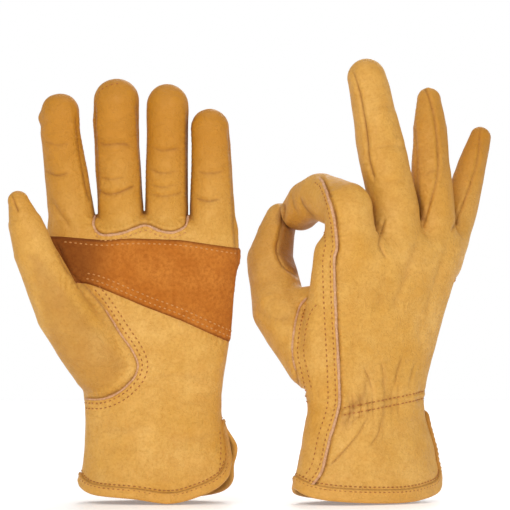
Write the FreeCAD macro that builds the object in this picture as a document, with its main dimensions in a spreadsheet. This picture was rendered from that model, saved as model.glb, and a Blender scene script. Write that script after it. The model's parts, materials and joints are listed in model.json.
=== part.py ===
"""A pair of leather driver's work gloves, standing on their cuffs.

Left glove: open hand, palm towards -Y.  Right glove: thumb and index finger closed to a ring, back towards -Y.
Each glove is laid out in its own hand frame, in millimetres:
  u  across the hand, from the thumb side to the little finger
  v  out of the palm
  w  up, from the cuff to the finger tips
Every stall is a hollow shell of two leathers, front and back, in two lengths that bend at a ball-shaped knuckle.
"""

import math
import os

import FreeCAD
import Part


Vector = FreeCAD.Vector

doc = FreeCAD.newDocument("work_gloves")
sheet = doc.addObject("Spreadsheet::Sheet", "Sheet")

# ------------------------------------------------------------------ driving dimensions, in mm

COMMON = {
    "wall": 1.3,  # leather thickness
    "play": 0.35,  # clearance in a knuckle
    "throat": 60.0,  # half angle of the hole a finger passes through, degrees
    "lip": 9.0,  # how far a socket reaches past its centre, degrees
    "half_turn": 179.0,  # a front or back leather goes this far round its stall, degrees
    "hem_arch_radius": 150.0,  # the cuff rises at both sides on this radius
    "hem_flat": 0.5,  # depth of the flats that the cuff stands on
    "binding_height": 5.0,
    "binding_proud": 1.5,
    "patch_lift": 0.1,
    "patch_top": 1.4,
    "thread_lift": 0.05,
    "thread_top": 0.5,
    "edge_top": 1.6,
    "elastic_thick": 1.0,
    "reach": 42.0,  # length of the room cut for a stall that bends
}

# The hand's rings, from the cuff up: height w, middle u, half width, half depth.
RINGS = {
    "left": [
        (0, 1, 46.0, 27.0),
        (28, 1, 42.0, 25.0),
        (58, -2, 40.0, 22.5),
        (86, -1, 44.0, 19.5),
        (112, -4, 48.5, 18.5),
        (142, -7, 54.0, 18.0),
        (168, -8, 54.5, 15.5),
    ],
    "right": [
        (0, 0, 46.0, 27.0),
        (28, 0, 42.0, 25.0),
        (58, 0, 36.5, 22.0),
        (86, 1, 45.0, 19.5),
        (112, 7, 46.5, 18.5),
        (142, 15, 48.5, 18.0),
        (158, 22, 52.0, 15.5),
    ],
}

# Knuckle, middle joint and tip of each stall as (u, v, w), then the radii there.
STALLS = {
    "left": {
        "index": [(-50.2, 0, 175), (-53.8, 3, 203), (-56.6, 10, 229.5), 12.8, 11.3],
        "middle": [(-20.7, 0, 179), (-22.4, 3, 209), (-23.6, 10, 238.0), 12.9, 11.9],
        "ring": [(6.5, 0, 178), (7.0, 3, 207), (7.4, 10, 235.5), 12.0, 11.2],
        "little": [(33.3, 0, 173), (33.0, 3, 198), (32.2, 9, 221.0), 11.8, 10.8],
    },
    "right": {
        "index": [(-11.5, 2, 173), (-13.2, 30, 181), (-13.9, 51, 170.5), 12.4, 10.5],
        "middle": [(21.4, 3, 171), (14.6, 6, 205), (7.2, 11, 249.0), 12.9, 12.0],
        "ring": [(49.5, 4, 168), (49.1, 8, 199), (52.7, 16, 236.0), 11.2, 8.0],
        "little": [(70.2, 13, 165), (79.2, 16, 189), (91.0, 20, 213.0), 9.5, 6.5],
    },
}

# Ball of the thumb, its knuckle, middle joint and tip, then the radii at the ball, knuckle, joint and tip.
THUMBS = {
    "left": [(-31.3, 9, 82), (-54, 20, 112.5), (-70.5, 27, 148), (-79.4, 30, 176), 18.5, 15.6, 12.2, 9.2],
    "right": [(-28.3, 14, 82), (-33.5, 40, 113), (-28.6, 63, 142), (-18.0, 71, 165), 18.5, 15.2, 12.0, 8.8],
}

# How far each joint turns from rest, towards the palm, in degrees.
RANGES = {
    "left": {
        "index": [(-12, 70), (-8, 75)],
        "middle": [(-12, 70), (-8, 75)],
        "ring": [(-12, 70), (-8, 75)],
        "little": [(-12, 70), (-8, 75)],
        "thumb": [(-25, 0), (-10, 10)],
    },
    "right": {
        "index": [(-55, 0), (-40, 0)],
        "middle": [(-12, 65), (-8, 70)],
        "ring": [(-12, 65), (-8, 70)],
        "little": [(-12, 65), (-8, 70)],
        "thumb": [(-25, 0), (-8, 0)],
    },
}

GLOVE_X = {"left": -55.35, "right": 68.65}  # middle of each cuff
GLOVE_Y = {"left": -15.06, "right": -15.06}
TURN = {"left": 0.0, "right": 30.0}  # each glove's turn about the vertical, degrees
PALM_FACES = {"left": -1, "right": 1}  # sign of v along Y before the turn

FINGERS = ("index", "middle", "ring", "little")

THUMB_TOWARDS = {"left": (0.8, 0.6, 0.0), "right": (0.8, 0.6, 0.0)}  # the way a thumb closes, in u, v, w

SOCKET_DEPTH = {"left": 20.0, "right": 20.0}  # how far a finger's socket reaches down into the hand

# The suede patch over the palm, as (u, w) corners.
PATCH = {
    "left": [(-60, 128), (-44, 128), (50, 92), (60, 92), (60, 146.5), (16, 154.5), (-34, 155.5), (-46, 151.5),
             (-60, 151)],
    "right": [(-60, 112), (-30, 112), (60, 92), (70, 92), (80, 139), (20, 150), (-60, 150)],
}

# Raw edge where the two-finger front is sewn across the palm, as (u, w) of its two ends.
WELT = {"left": [(-36, 160.5), (20.5, 160.5)], "right": [(6, 154), (62, 154)]}

# Raw edge of the long seam down the back, as (u, w) of its two ends.
OUTSEAM = {"left": [(-30, 13.5), (-37, 158)], "right": [(-27, 13.5), (-12, 150)]}

VENT = {"half_width": 6.0, "height": 42.0, "rim": 4.0}
SHIRRING = {"left": (54.0, 59.0), "right": (54.0, 59.0)}  # heights of the two rows over the wrist elastic
SHIRRING_HALF = 26.0
HEM_ROW = 8.0  # height of the hem's row of thread
ROW_TALL = 0.9  # height of a row of thread
SPLIT = 1.2  # how far in front of the hand's middle the palm leather meets the back
# ---- end of dimensions


# ------------------------------------------------------------------ spreadsheet


row = 0


def cell(name, value):
    """Put one number in the sheet under a name of its own."""
    global row
    row += 1
    sheet.set("A%d" % row, name)
    sheet.set("B%d" % row, repr(float(value)))
    sheet.setAlias("B%d" % row, name)


for key, value in COMMON.items():
    cell(key, value)
for key, value in VENT.items():
    cell("vent_" + key, value)
cell("row_tall", ROW_TALL)
cell("shirring_half", SHIRRING_HALF)
for side in ("left", "right"):
    for number, (w, u, half_width, half_depth) in enumerate(RINGS[side]):
        cell("%s_hand%s_width" % (side, "abcdefg"[number]), half_width)
        cell("%s_hand%s_depth" % (side, "abcdefg"[number]), half_depth)
    cell(side + "_socket_depth", SOCKET_DEPTH[side])
    for finger in FINGERS:
        knuckle, middle, tip, base_radius, tip_radius = STALLS[side][finger]
        cell("%s_%s_radius" % (side, finger), base_radius)
        cell("%s_%s_end" % (side, finger), tip_radius)
        cell("%s_%s_base_length" % (side, finger), math.dist(knuckle, middle))
        cell("%s_%s_tip_length" % (side, finger), math.dist(middle, tip))
    ball, knuckle, middle, tip, ball_radius, root_radius, joint_radius, tip_radius = THUMBS[side]
    cell(side + "_thumb_ball", ball_radius)
    cell(side + "_thumb_root", root_radius)
    cell(side + "_thumb_joint", joint_radius)
    cell(side + "_thumb_end", tip_radius)
    cell(side + "_thumb_root_length", math.dist(ball, knuckle))
    cell(side + "_thumb_base_length", math.dist(knuckle, middle))
    cell(side + "_thumb_tip_length", math.dist(middle, tip))
doc.recompute()


# ------------------------------------------------------------------ where things are


def glove_rotation(side):
    return FreeCAD.Rotation(Vector(0, 0, 1), TURN[side])


def origin(side):
    return Vector(GLOVE_X[side], GLOVE_Y[side], 0)


def turned(side, u, v, w):
    """A direction of the hand frame, in the row's frame."""
    return glove_rotation(side).multVec(Vector(u, PALM_FACES[side] * v, w))


def point(side, u, v, w):
    """A point of the hand frame, in the row's frame."""
    return origin(side) + turned(side, u, v, w)


def frame_of(along, front):
    """Rotation whose local Z is along and whose local Y is the front."""
    z = Vector(along).normalize()
    x = front.cross(z).normalize()
    return FreeCAD.Rotation(x, z.cross(x), z, "ZXY")


def finger_axis(side, along):
    """Axis that turns a finger towards the palm."""
    across = turned(side, -1, 0, 0) * PALM_FACES[side]
    axis = across - along * across.dot(along)
    return axis.normalize()


def thumb_axis(side, along):
    """Axis that turns a thumb towards the fingers."""
    return along.cross(turned(side, *THUMB_TOWARDS[side])).normalize()


# ------------------------------------------------------------------ building blocks


def solid(kind, name, place, **sizes):
    """One primitive whose sizes are expressions on the sheet."""
    item = doc.addObject("Part::" + kind, name)
    for key, formula in sizes.items():
        item.setExpression(key, formula)
    item.Placement = place
    return item


def fuse(name, items):
    joined = doc.addObject("Part::MultiFuse", name)
    joined.Shapes = items
    return joined


def cut(name, base, tool):
    result = doc.addObject("Part::Cut", name)
    result.Base = base
    result.Tool = tool
    return result


def cut_all(name, base, tools):
    """Cut one tool after another."""
    for number, tool in enumerate(tools):
        base = cut("%s_%d" % (name, number), base, tool)
    return base


def common(name, items):
    result = doc.addObject("Part::MultiCommon", name)
    result.Shapes = items
    return result


def block(side, name, low, high):
    """A box given by two corners of the hand frame."""
    sign = PALM_FACES[side]
    near = min(sign * low[1], sign * high[1])
    corner = origin(side) + glove_rotation(side).multVec(Vector(low[0], near, low[2]))
    place = FreeCAD.Placement(corner, glove_rotation(side))
    return solid("Box", name, place, Length=repr(float(high[0] - low[0])),
                 Width=repr(float(abs(high[1] - low[1]))), Height=repr(float(high[2] - low[2])))


def capped_tube(name, place, start, end, length, below, above, turn):
    """A tapered bar with a zone of a ball under it and another on it, as one solid."""
    lift = FreeCAD.Placement(place.multVec(Vector(0, 0, 0)), place.Rotation)
    foot = solid("Sphere", name + "_foot", lift, Radius=start, Angle1="-(" + below + ")", Angle2="0", Angle3=turn)
    bar = solid("Cone", name + "_bar", lift, Radius1=start, Radius2=end, Height=length, Angle=turn)
    head = solid("Sphere", name + "_head", lift, Radius=end, Angle1="0", Angle2=above, Angle3=turn)
    bar.recompute()
    far = lift.multVec(Vector(0, 0, bar.Height.Value))
    head.Placement = FreeCAD.Placement(far, lift.Rotation)
    return fuse(name, [foot, bar, head])


def swing_room(name, pivot, along, axis, sweep, start, end):
    """The room a stall sweeps as it turns about its knuckle."""
    low, high = sweep
    pieces = []
    for label, angle in (("low", low), ("high", high)):
        way = FreeCAD.Rotation(axis, angle).multVec(along)
        place = FreeCAD.Placement(pivot, frame_of(way, axis.cross(way)))
        pieces.append(solid("Cone", "%s_%s" % (name, label), place,
                            Radius1=start + " + Sheet.play", Radius2=end + " + Sheet.play", Height="Sheet.reach"))
    first = FreeCAD.Rotation(axis, low).multVec(along)
    pie_frame = FreeCAD.Rotation(first, axis.cross(first), axis, "ZXY")
    pie = solid("Cylinder", name + "_pie", FreeCAD.Placement(pivot, pie_frame), Radius="Sheet.reach",
                Height="2 * (%s + Sheet.play * 0.6)" % start, Angle=repr(float(high - low)))
    pie.recompute()
    pie.Placement = FreeCAD.Placement(pivot - axis * (pie.Height.Value / 2), pie_frame)
    return pieces + [pie]


def leather_halves(name, pivot, along, front, start, end, length, above, rooms):
    """The front and back leathers of one length of a stall."""
    place = FreeCAD.Placement(pivot, frame_of(along, front))
    hollow = capped_tube(name + "_hollow", place, start + " - Sheet.wall", end + " - Sheet.wall", length,
                         "90", "90", "360")
    made = []
    for half, towards in (("front", front), ("back", front * -1)):
        half_place = FreeCAD.Placement(pivot, frame_of(along, towards) * FreeCAD.Rotation(Vector(0, 0, 1), 0.5))
        outside = capped_tube("%s_%s_outside" % (name, half), half_place, start, end, length,
                              "90 - Sheet.throat", above, "Sheet.half_turn")
        leather = cut_all("%s_%s_leather" % (name, half), outside, [hollow] + rooms)
        made.append(("%s_%s" % (name, half), leather))
    return made


# ------------------------------------------------------------------ the sub-parts

parts = {}


def keep(label, item):
    parts[label] = item


def stall(side, finger):
    """The four leathers of one finger, and the socket, hollow and room it needs in the hand."""
    knuckle, middle, tip, _, _ = STALLS[side][finger]
    knuckle, middle, tip = (point(side, *p) for p in (knuckle, middle, tip))
    name = "%s_%s" % (side, finger)
    radius = "Sheet.%s_radius" % name
    inner = "(%s - Sheet.wall - Sheet.play)" % radius
    end = "Sheet.%s_end" % name
    base_way = (middle - knuckle).normalize()
    tip_way = (tip - middle).normalize()
    base_axis = finger_axis(side, base_way)
    tip_axis = finger_axis(side, tip_way)
    base_range, tip_range = RANGES[side][finger]
    tip_room = swing_room(name + "_tip_room", middle, tip_way, tip_axis, tip_range, inner, end)
    for label, item in leather_halves(name + "_base", knuckle, base_way, base_axis.cross(base_way), radius, radius,
                                      "Sheet.%s_base_length" % name, "Sheet.lip", tip_room):
        keep(label, item)
    for label, item in leather_halves(name + "_tip", middle, tip_way, tip_axis.cross(tip_way), inner, end,
                                      "Sheet.%s_tip_length" % name, "90", []):
        keep(label, item)
    down = FreeCAD.Placement(knuckle, frame_of(base_way, base_axis.cross(base_way)))
    return socket(side, name, down, knuckle, base_way, radius) + (
        swing_room(name + "_base_room", knuckle, base_way, base_axis, base_range, radius, radius),
    )


def socket(side, name, down, knuckle, way, radius):
    """Outside and hollow of a finger's socket in the hand."""
    found = []
    for label, size, cap in (("outside", radius + " + Sheet.play + Sheet.wall", "Sheet.lip"),
                             ("hollow", radius + " + Sheet.play", "90")):
        depth = "Sheet.%s_socket_depth" % side
        foot = knuckle - SOCKET_WAY[side](way) * SOCKET_DEPTH[side]
        frame = frame_of(SOCKET_WAY[side](way), turned(side, 0, 1, 0))
        bar = solid("Cylinder", "%s_%s_bar" % (name, label), FreeCAD.Placement(foot, frame), Radius=size, Height=depth)
        ball = solid("Sphere", "%s_%s_ball" % (name, label), FreeCAD.Placement(knuckle, frame), Radius=size,
                     Angle1="0", Angle2=cap)
        found.append(fuse("%s_%s" % (name, label), [bar, ball]))
    return tuple(found)


def upright(side):
    """A socket stands up from the hand, leaning at most a little with its finger."""

    def lean(way):
        flat = Vector(way)
        flat = flat if flat.dot(Vector(0, 0, 1)) > 0.9 else Vector(0, 0, 1) * 0.9 + flat * 0.35
        return flat.normalize()

    return lean


SOCKET_WAY = {"left": upright("left"), "right": upright("right")}


def thumb(side):
    """The two lengths of the thumb, and the root, hollow and room it needs in the hand."""
    ball, knuckle, middle, tip = (point(side, *p) for p in THUMBS[side][:4])
    name = side + "_thumb"
    root = "Sheet.%s_root" % name
    joint = "Sheet.%s_joint" % name
    end = "Sheet.%s_end" % name
    base_inner = "(%s - Sheet.wall - Sheet.play)" % root
    tip_inner = "(%s - Sheet.wall - Sheet.play)" % joint
    base_way = (middle - knuckle).normalize()
    tip_way = (tip - middle).normalize()
    base_axis = thumb_axis(side, base_way)
    tip_axis = thumb_axis(side, tip_way)
    base_range, tip_range = RANGES[side]["thumb"]
    tip_room = swing_room(name + "_tip_room", middle, tip_way, tip_axis, tip_range, tip_inner, end)
    for label, item in leather_halves(name + "_base", knuckle, base_way, base_axis.cross(base_way), base_inner, joint,
                                      "Sheet.%s_base_length" % name, "Sheet.lip", tip_room):
        keep(label, item)
    for label, item in leather_halves(name + "_tip", middle, tip_way, tip_axis.cross(tip_way), tip_inner, end,
                                      "Sheet.%s_tip_length" % name, "90", []):
        keep(label, item)
    way = (knuckle - ball).normalize()
    place = FreeCAD.Placement(ball, frame_of(way, turned(side, 0, 1, 0)))
    outside = capped_tube(name + "_root_outside", place, "Sheet.%s_ball" % name, root,
                          "Sheet.%s_root_length" % name, "90", "Sheet.lip", "360")
    hollow = capped_tube(name + "_root_hollow", place, "Sheet.%s_ball - Sheet.wall" % name, root + " - Sheet.wall",
                         "Sheet.%s_root_length" % name, "90", "90", "360")
    room = swing_room(name + "_base_room", knuckle, base_way, base_axis, base_range, base_inner, joint)
    return outside, hollow, room


def hand_body(side, name, grow, trim):
    """The hand's rings, grown outwards and trimmed at the top, as one loft."""
    rings = []
    last = len(RINGS[side]) - 1
    for number, (w, u, _, _) in enumerate(RINGS[side]):
        letter = "abcdefg"[number]
        height = w - (trim if number == last else 0)
        height = height - (8.0 if number == 0 else 0)
        width = "Sheet.%s_hand%s_width + (%s)" % (side, letter, grow)
        depth = "Sheet.%s_hand%s_depth + (%s)" % (side, letter, grow)
        place = FreeCAD.Placement(point(side, u, 0, height), glove_rotation(side))
        rings.append(solid("Ellipse", "%s_%s" % (name, letter), place, MajorRadius=width, MinorRadius=depth))
    body = doc.addObject("Part::Loft", name)
    body.Sections = rings
    body.Solid = True
    body.Ruled = False
    return body


def layer(side, name, low, high):
    """The skin between two offsets of the hand's outside."""
    return cut(name, hand_body(side, name + "_high", high, -0.0), hand_body(side, name + "_low", low, -1.0))


def arch(side, name, inset):
    """A bar across the cuff whose underside is the arch of the hem."""
    centre = COMMON["hem_arch_radius"] - COMMON["hem_flat"]
    away = turned(side, 0, 1, 0)
    place = FreeCAD.Placement(point(side, 0, -60, centre), frame_of(away, Vector(0, 0, 1)))
    return solid("Cylinder", name, place, Radius="Sheet.hem_arch_radius - (%s)" % inset, Height="120")


def prism(side, name, corners, low, high):
    """A flat outline of (u, w) corners carried through the glove from v low to v high."""
    outline = doc.addObject("Part::Polygon", name + "_outline")
    outline.Nodes = [point(side, u, low, w) for u, w in corners]
    outline.Close = True
    body = doc.addObject("Part::Extrusion", name)
    body.Base = outline
    body.DirMode = "Custom"
    body.Dir = turned(side, 0, 1, 0)
    body.LengthFwd = high - low
    body.Solid = True
    return body


def strip(side, name, ends, width, low, high):
    """A straight strip between two (u, w) points."""
    (u0, w0), (u1, w1) = ends
    length = math.hypot(u1 - u0, w1 - w0)
    nu, nw = -(w1 - w0) / length * width / 2, (u1 - u0) / length * width / 2
    corners = [(u0 + nu, w0 + nw), (u1 + nu, w1 + nw), (u1 - nu, w1 - nw), (u0 - nu, w0 - nw)]
    return prism(side, name, corners, low, high)


def vent_wedge(side, name, grow):
    """The slit in the little-finger side of the cuff."""
    place = FreeCAD.Placement(point(side, 20, 0, -3), frame_of(turned(side, 1, 0, 0), Vector(0, 0, 1)))
    wedge = doc.addObject("Part::Wedge", name)
    wedge.setExpression("Xmin", "-(Sheet.vent_half_width + %s)" % grow)
    wedge.setExpression("Xmax", "Sheet.vent_half_width + %s" % grow)
    wedge.setExpression("X2min", "-(0.4 + %s)" % grow)
    wedge.setExpression("X2max", "0.4 + %s" % grow)
    wedge.setExpression("Ymin", "0")
    wedge.setExpression("Ymax", "Sheet.vent_height + 3 + %s" % grow)
    for key, value in (("Zmin", "0"), ("Zmax", "50"), ("Z2min", "0"), ("Z2max", "50")):
        wedge.setExpression(key, value)
    wedge.Placement = place
    return wedge


def glove(side):
    outsides, hollows, rooms = [], [], []
    for finger in FINGERS:
        outside, hollow, room = stall(side, finger)
        outsides.append(outside)
        hollows.append(hollow)
        rooms.extend(room)
    thumb_outside, thumb_hollow, thumb_room = thumb(side)
    hollow_body = hand_body(side, side + "_hand_hollow", "-Sheet.wall", COMMON["wall"])
    inside = fuse(side + "_inside", [hollow_body, thumb_hollow] + hollows)
    vent = vent_wedge(side, side + "_vent", "0")
    shape = fuse(side + "_hand_outside", [hand_body(side, side + "_hand_skin", "0", 0.0)] + outsides)
    emptied = cut_all(side + "_hand_emptied", shape, [inside] + rooms + thumb_room)
    leather = common(side + "_hand_leather", [cut(side + "_hand_vented", emptied, vent),
                                              arch(side, side + "_leather_arch", "2.5")])
    for half, low, high in (("palm", SPLIT + 0.05, 60.0), ("back", -60.0, SPLIT - 0.05)):
        mask = block(side, "%s_%s_mask" % (side, half), (-90, low, -10), (90, high, 230))
        keep("%s_%s_leather" % (side, half), common("%s_%s_piece" % (side, half), [leather, mask]))

    body = fuse(side + "_body", [hand_body(side, side + "_body_skin", "0", 0.0)] + outsides)
    root = cut(side + "_root_outer", cut(side + "_root_clear", thumb_outside, body), thumb_hollow)
    keep(side + "_thumb_root", cut_all(side + "_root_piece", root, thumb_room))

    near_thumb = [thumb_outside] + thumb_room
    around = cut_all(side + "_patch_clear", layer(side, side + "_patch_layer", "Sheet.patch_lift",
                                                  "Sheet.patch_top"), near_thumb)
    patch = prism(side, side + "_patch_outline", PATCH[side], 2.0, 60.0)
    keep(side + "_palm_patch", common(side + "_patch_piece", [around, patch]))

    trimmings(side, vent, outsides, leather)


def trimmings(side, vent, obstacles, leather):
    proud = layer(side, side + "_binding_layer", "-Sheet.binding_proud - Sheet.wall", "Sheet.binding_proud")
    band = cut(side + "_binding_band", arch(side, side + "_binding_low", "0"),
               arch(side, side + "_binding_high", "Sheet.binding_height"))
    rim = common(side + "_binding_rim", [vent_wedge(side, side + "_vent_rim", "Sheet.vent_rim"),
                                         arch(side, side + "_rim_arch", "0")])
    around = common(side + "_binding_all", [proud, fuse(side + "_binding_route", [band, rim])])
    clear = cut(side + "_binding_clear", cut(side + "_binding_open", around, vent), leather)
    above = block(side, side + "_floor", (-90, -60, 0), (90, 60, 80))
    keep(side + "_hem_binding", common(side + "_binding_piece", [clear, above]))

    edge = layer(side, side + "_edge_layer", "Sheet.thread_lift", "Sheet.edge_top")
    welt = common(side + "_welt_all", [edge, strip(side, side + "_welt_strip", WELT[side], 2.2, 2.0, 60.0)])
    keep(side + "_finger_welt", cut_all(side + "_welt_piece", welt, obstacles))
    raw = common(side + "_seam_all", [edge, strip(side, side + "_seam_strip", OUTSEAM[side], 1.8, -60.0, -2.0)])
    keep(side + "_back_seam", cut_all(side + "_seam_piece", raw, obstacles))

    thread = layer(side, side + "_thread_layer", "Sheet.thread_lift", "Sheet.thread_top")
    hem_band = cut(side + "_hem_row_band", arch(side, side + "_hem_row_low", repr(HEM_ROW)),
                   arch(side, side + "_hem_row_high", "%r + Sheet.row_tall" % HEM_ROW))
    hem_away = cut(side + "_hem_thread_piece", common(side + "_hem_thread_all", [thread, hem_band]),
                   vent_wedge(side, side + "_thread_vent", "6"))
    keep(side + "_hem_thread", hem_away)

    rows = [strip(side, "%s_shirring_%d" % (side, number), [(-SHIRRING_HALF, w), (SHIRRING_HALF - 2, w)],
                  ROW_TALL, -60.0, -2.0) for number, w in enumerate(SHIRRING[side])]
    seam_gap = strip(side, side + "_shirring_gap", OUTSEAM[side], 3, -60.0, 0)
    keep(side + "_wrist_thread", cut(side + "_wrist_thread_piece",
                                     common(side + "_wrist_rows", [thread, fuse(side + "_wrist_row_pair", rows)]),
                                     seam_gap))

    elastic = layer(side, side + "_elastic_layer", "-Sheet.wall - 0.05 - Sheet.elastic_thick",
                    "-Sheet.wall - 0.05")
    low, high = SHIRRING[side]
    pad = block(side, side + "_elastic_mask", (-SHIRRING_HALF, -60, low - 3), (SHIRRING_HALF, -2, high + 3))
    keep(side + "_wrist_elastic", common(side + "_elastic_piece", [elastic, pad]))


for side in ("left", "right"):
    glove(side)

doc.recompute()
for label, item in parts.items():
    item.Label = label

# ------------------------------------------------------------------ checks and output

for item in doc.Objects:
    state = set(item.State)
    if state & {"Invalid", "Error"}:
        raise RuntimeError("%s is %s" % (item.Label, sorted(state)))
for label, item in parts.items():
    if item.Shape.isNull() or not item.Shape.isValid() or not item.Shape.Solids:
        raise RuntimeError("%s has no valid solid" % label)

os.makedirs("parts", exist_ok=True)
for label, item in parts.items():
    item.Shape.exportStep(os.path.join("parts", label + ".step"))
    print("%-28s solids %d  volume %9.1f" % (label, len(item.Shape.Solids), item.Shape.Volume))
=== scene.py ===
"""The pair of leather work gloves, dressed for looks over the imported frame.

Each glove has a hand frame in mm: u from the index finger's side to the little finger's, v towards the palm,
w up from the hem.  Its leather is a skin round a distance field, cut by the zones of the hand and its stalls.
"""
import json
import math
import bpy
import numpy as np
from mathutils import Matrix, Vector
from mathutils.bvhtree import BVHTree


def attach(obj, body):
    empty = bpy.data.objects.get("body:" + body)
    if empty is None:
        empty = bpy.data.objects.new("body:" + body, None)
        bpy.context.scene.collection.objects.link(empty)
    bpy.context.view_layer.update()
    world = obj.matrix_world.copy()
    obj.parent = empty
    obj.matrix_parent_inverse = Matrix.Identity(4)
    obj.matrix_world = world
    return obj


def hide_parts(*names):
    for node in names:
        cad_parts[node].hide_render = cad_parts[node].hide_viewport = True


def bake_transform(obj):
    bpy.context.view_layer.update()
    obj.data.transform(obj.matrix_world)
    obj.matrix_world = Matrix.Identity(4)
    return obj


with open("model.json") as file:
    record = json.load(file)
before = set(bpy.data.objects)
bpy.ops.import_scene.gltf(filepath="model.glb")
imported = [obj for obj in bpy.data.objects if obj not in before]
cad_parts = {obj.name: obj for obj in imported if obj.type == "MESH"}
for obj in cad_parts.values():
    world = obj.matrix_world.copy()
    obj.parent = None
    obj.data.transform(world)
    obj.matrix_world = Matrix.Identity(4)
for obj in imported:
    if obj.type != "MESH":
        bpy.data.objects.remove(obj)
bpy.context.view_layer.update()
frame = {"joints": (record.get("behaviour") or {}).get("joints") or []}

MM = 0.001
SIDES = ("left", "right")

# ------------------------------------------------------------------ camera and light

scene = bpy.context.scene


def look_at(obj, target):
    obj.rotation_euler = (Vector(target) - obj.location).to_track_quat("-Z", "Y").to_euler()


SENSOR = 36.0
CAMERA_FAR = 5.0
CAMERA_RISE = 0.14
CAMERA_AIM = (0.0033, 0.0, 0.1454)
VIEW_WIDE = 0.3009  # width of the view at the gloves
camera_data = bpy.data.cameras.new("camera")
camera = bpy.data.objects.new("camera", camera_data)
scene.collection.objects.link(camera)
scene.camera = camera
camera_data.sensor_width = SENSOR
camera_data.lens = SENSOR * CAMERA_FAR / VIEW_WIDE
camera_data.clip_end = 50
camera.location = (CAMERA_AIM[0], -CAMERA_FAR, CAMERA_AIM[2] + CAMERA_RISE)
look_at(camera, CAMERA_AIM)

WARM, COOL, WHITE = (1.0, 0.985, 0.96), (0.97, 0.985, 1.0), (1, 1, 1)
# name, place, target, size, power, colour
LIGHTS = [
    ("key", (-0.55, -1.6, 1.0), (0, 0, 0.13), 0.8, 7.5, WARM),
    ("near", (0.03, -0.8, 0.42), (0.0, 0, 0.14), 0.35, 1.5, WARM),
    ("fill", (1.1, -1.3, 0.5), (0, 0, 0.13), 1.2, 2.5, COOL),
    ("top", (0.1, 0.2, 1.6), (0, 0, 0.1), 1.1, 5, WHITE),
    ("back", (0.3, 1.5, 0.9), (0, 0, 0.13), 1.0, 7, WHITE),
]
for name, place, target, size, power, colour in LIGHTS:
    data = bpy.data.lights.new(name, "AREA")
    data.shape = "DISK"
    data.size = size
    data.energy = power
    data.color = colour
    light = bpy.data.objects.new(name, data)
    light.location = place
    scene.collection.objects.link(light)
    look_at(light, target)

SPAN = ("From Min", "From Max", "To Min", "To Max")
world = bpy.data.worlds.new("world")
scene.world = world
world.use_nodes = True
sky, links = world.node_tree.nodes, world.node_tree.links
sky["Background"].inputs["Color"].default_value = (1.0, 1.0, 1.0, 1)
# the studio is brightest along the horizon and dimmer overhead
way_out = sky.new("ShaderNodeTexCoord")
parts_of_way = sky.new("ShaderNodeSeparateXYZ")
steepness = sky.new("ShaderNodeMath")
steepness.operation = "ABSOLUTE"
dimming = sky.new("ShaderNodeMapRange")
for key, number in zip(SPAN, (0.12, 0.3, 1.0, 0.42)):
    dimming.inputs[key].default_value = number
links.new(way_out.outputs["Generated"], parts_of_way.inputs["Vector"])
links.new(parts_of_way.outputs["Z"], steepness.inputs[0])
links.new(steepness.outputs[0], dimming.inputs["Value"])
links.new(dimming.outputs["Result"], sky["Background"].inputs["Strength"])
scene.view_settings.view_transform = "Standard"

# ------------------------------------------------------------------ glove frames

FACES = {"left": -1, "right": 1}  # which way along Y the palm faces
TURN = {"left": 0.0, "right": 30.0}  # degrees about the vertical
INDEX_KNUCKLE = {"left": (-50.2, 0, 175), "right": (-11.5, 2, 173)}
JOINTS = {j["name"]: j for j in frame["joints"]}


def axes(side):
    """The hand frame's u, v and w in the row's frame."""
    angle = math.radians(TURN[side])
    cos, sin, face = math.cos(angle), math.sin(angle), FACES[side]
    return np.array([[cos, sin, 0], [-sin * face, cos * face, 0], [0, 0, 1.0]])


PLACE = {
    side: np.array(JOINTS[side + "_index_knuckle"]["pos_m"]) / MM
    - np.array(INDEX_KNUCKLE[side]) @ axes(side)
    for side in SIDES
}


def to_row(side, p):
    """Hand frame in mm to the row's frame in metres."""
    return (np.asarray(p, float) @ axes(side) + PLACE[side]) * MM


def to_hand(side, p):
    return (np.asarray(p, float) / MM - PLACE[side]) @ axes(side).T


# ------------------------------------------------------------------ the shape of each glove

# Sections of the hand: height, middle u, middle v, half width, half depth, squareness.
SECTIONS = {
    "left": [
        (-12, 1, 0, 47.5, 27.5, 2.0),
        (4, 0, 0, 46.5, 27.0, 2.0),
        (14, 1, 0, 45.5, 26.5, 2.0),
        (28, 1, 0, 43.0, 25.0, 2.0),
        (44, -0.5, 0, 40.8, 23.5, 2.1),
        (58, -2, 0, 40.0, 22.0, 2.1),
        (72, -1.5, 0, 41.5, 20.5, 2.2),
        (88, -1, 0, 43.8, 19.0, 2.3),
        (112, -4, 0, 48.5, 18.0, 2.3),
        (142, -7, 0, 54.2, 17.5, 2.4),
        (162, -8, 0, 55.2, 15.5, 2.4),
        (180, -8.5, 0, 54.5, 14.0, 2.4),
    ],
    "right": [
        (-12, 1.5, 0, 49.0, 27.5, 2.0),
        (4, 1.5, 0, 48.3, 27.0, 2.0),
        (14, 1.8, 0, 47.3, 26.5, 2.0),
        (28, 1.8, 0, 44.5, 25.0, 2.0),
        (44, 0.8, 0, 39.6, 23.0, 2.1),
        (58, -0.2, 0, 36.8, 21.5, 2.1),
        (72, -0.4, 0, 39.8, 20.5, 2.2),
        (88, 0.8, 0, 44.0, 19.5, 2.3),
        (112, 6.4, 0, 46.0, 18.5, 2.3),
        (142, 15.0, 1, 48.8, 17.5, 2.3),
        (158, 21, 2, 52.5, 15.5, 2.3),
        (176, 26, 3, 52.5, 13.5, 2.3),
    ],
}
TOP = {"left": 166.0, "right": 157.0}

# Bars below are (u, v, w, radius) from end to end; a second number says how flat they are.
# The corner that the cut of the index finger leaves at its tip.
CORNERS = {"left": [(-58.5, 9, 228.5, 9.0), (-65.2, 8, 226.6, 3.6)], "right": None}
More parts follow.
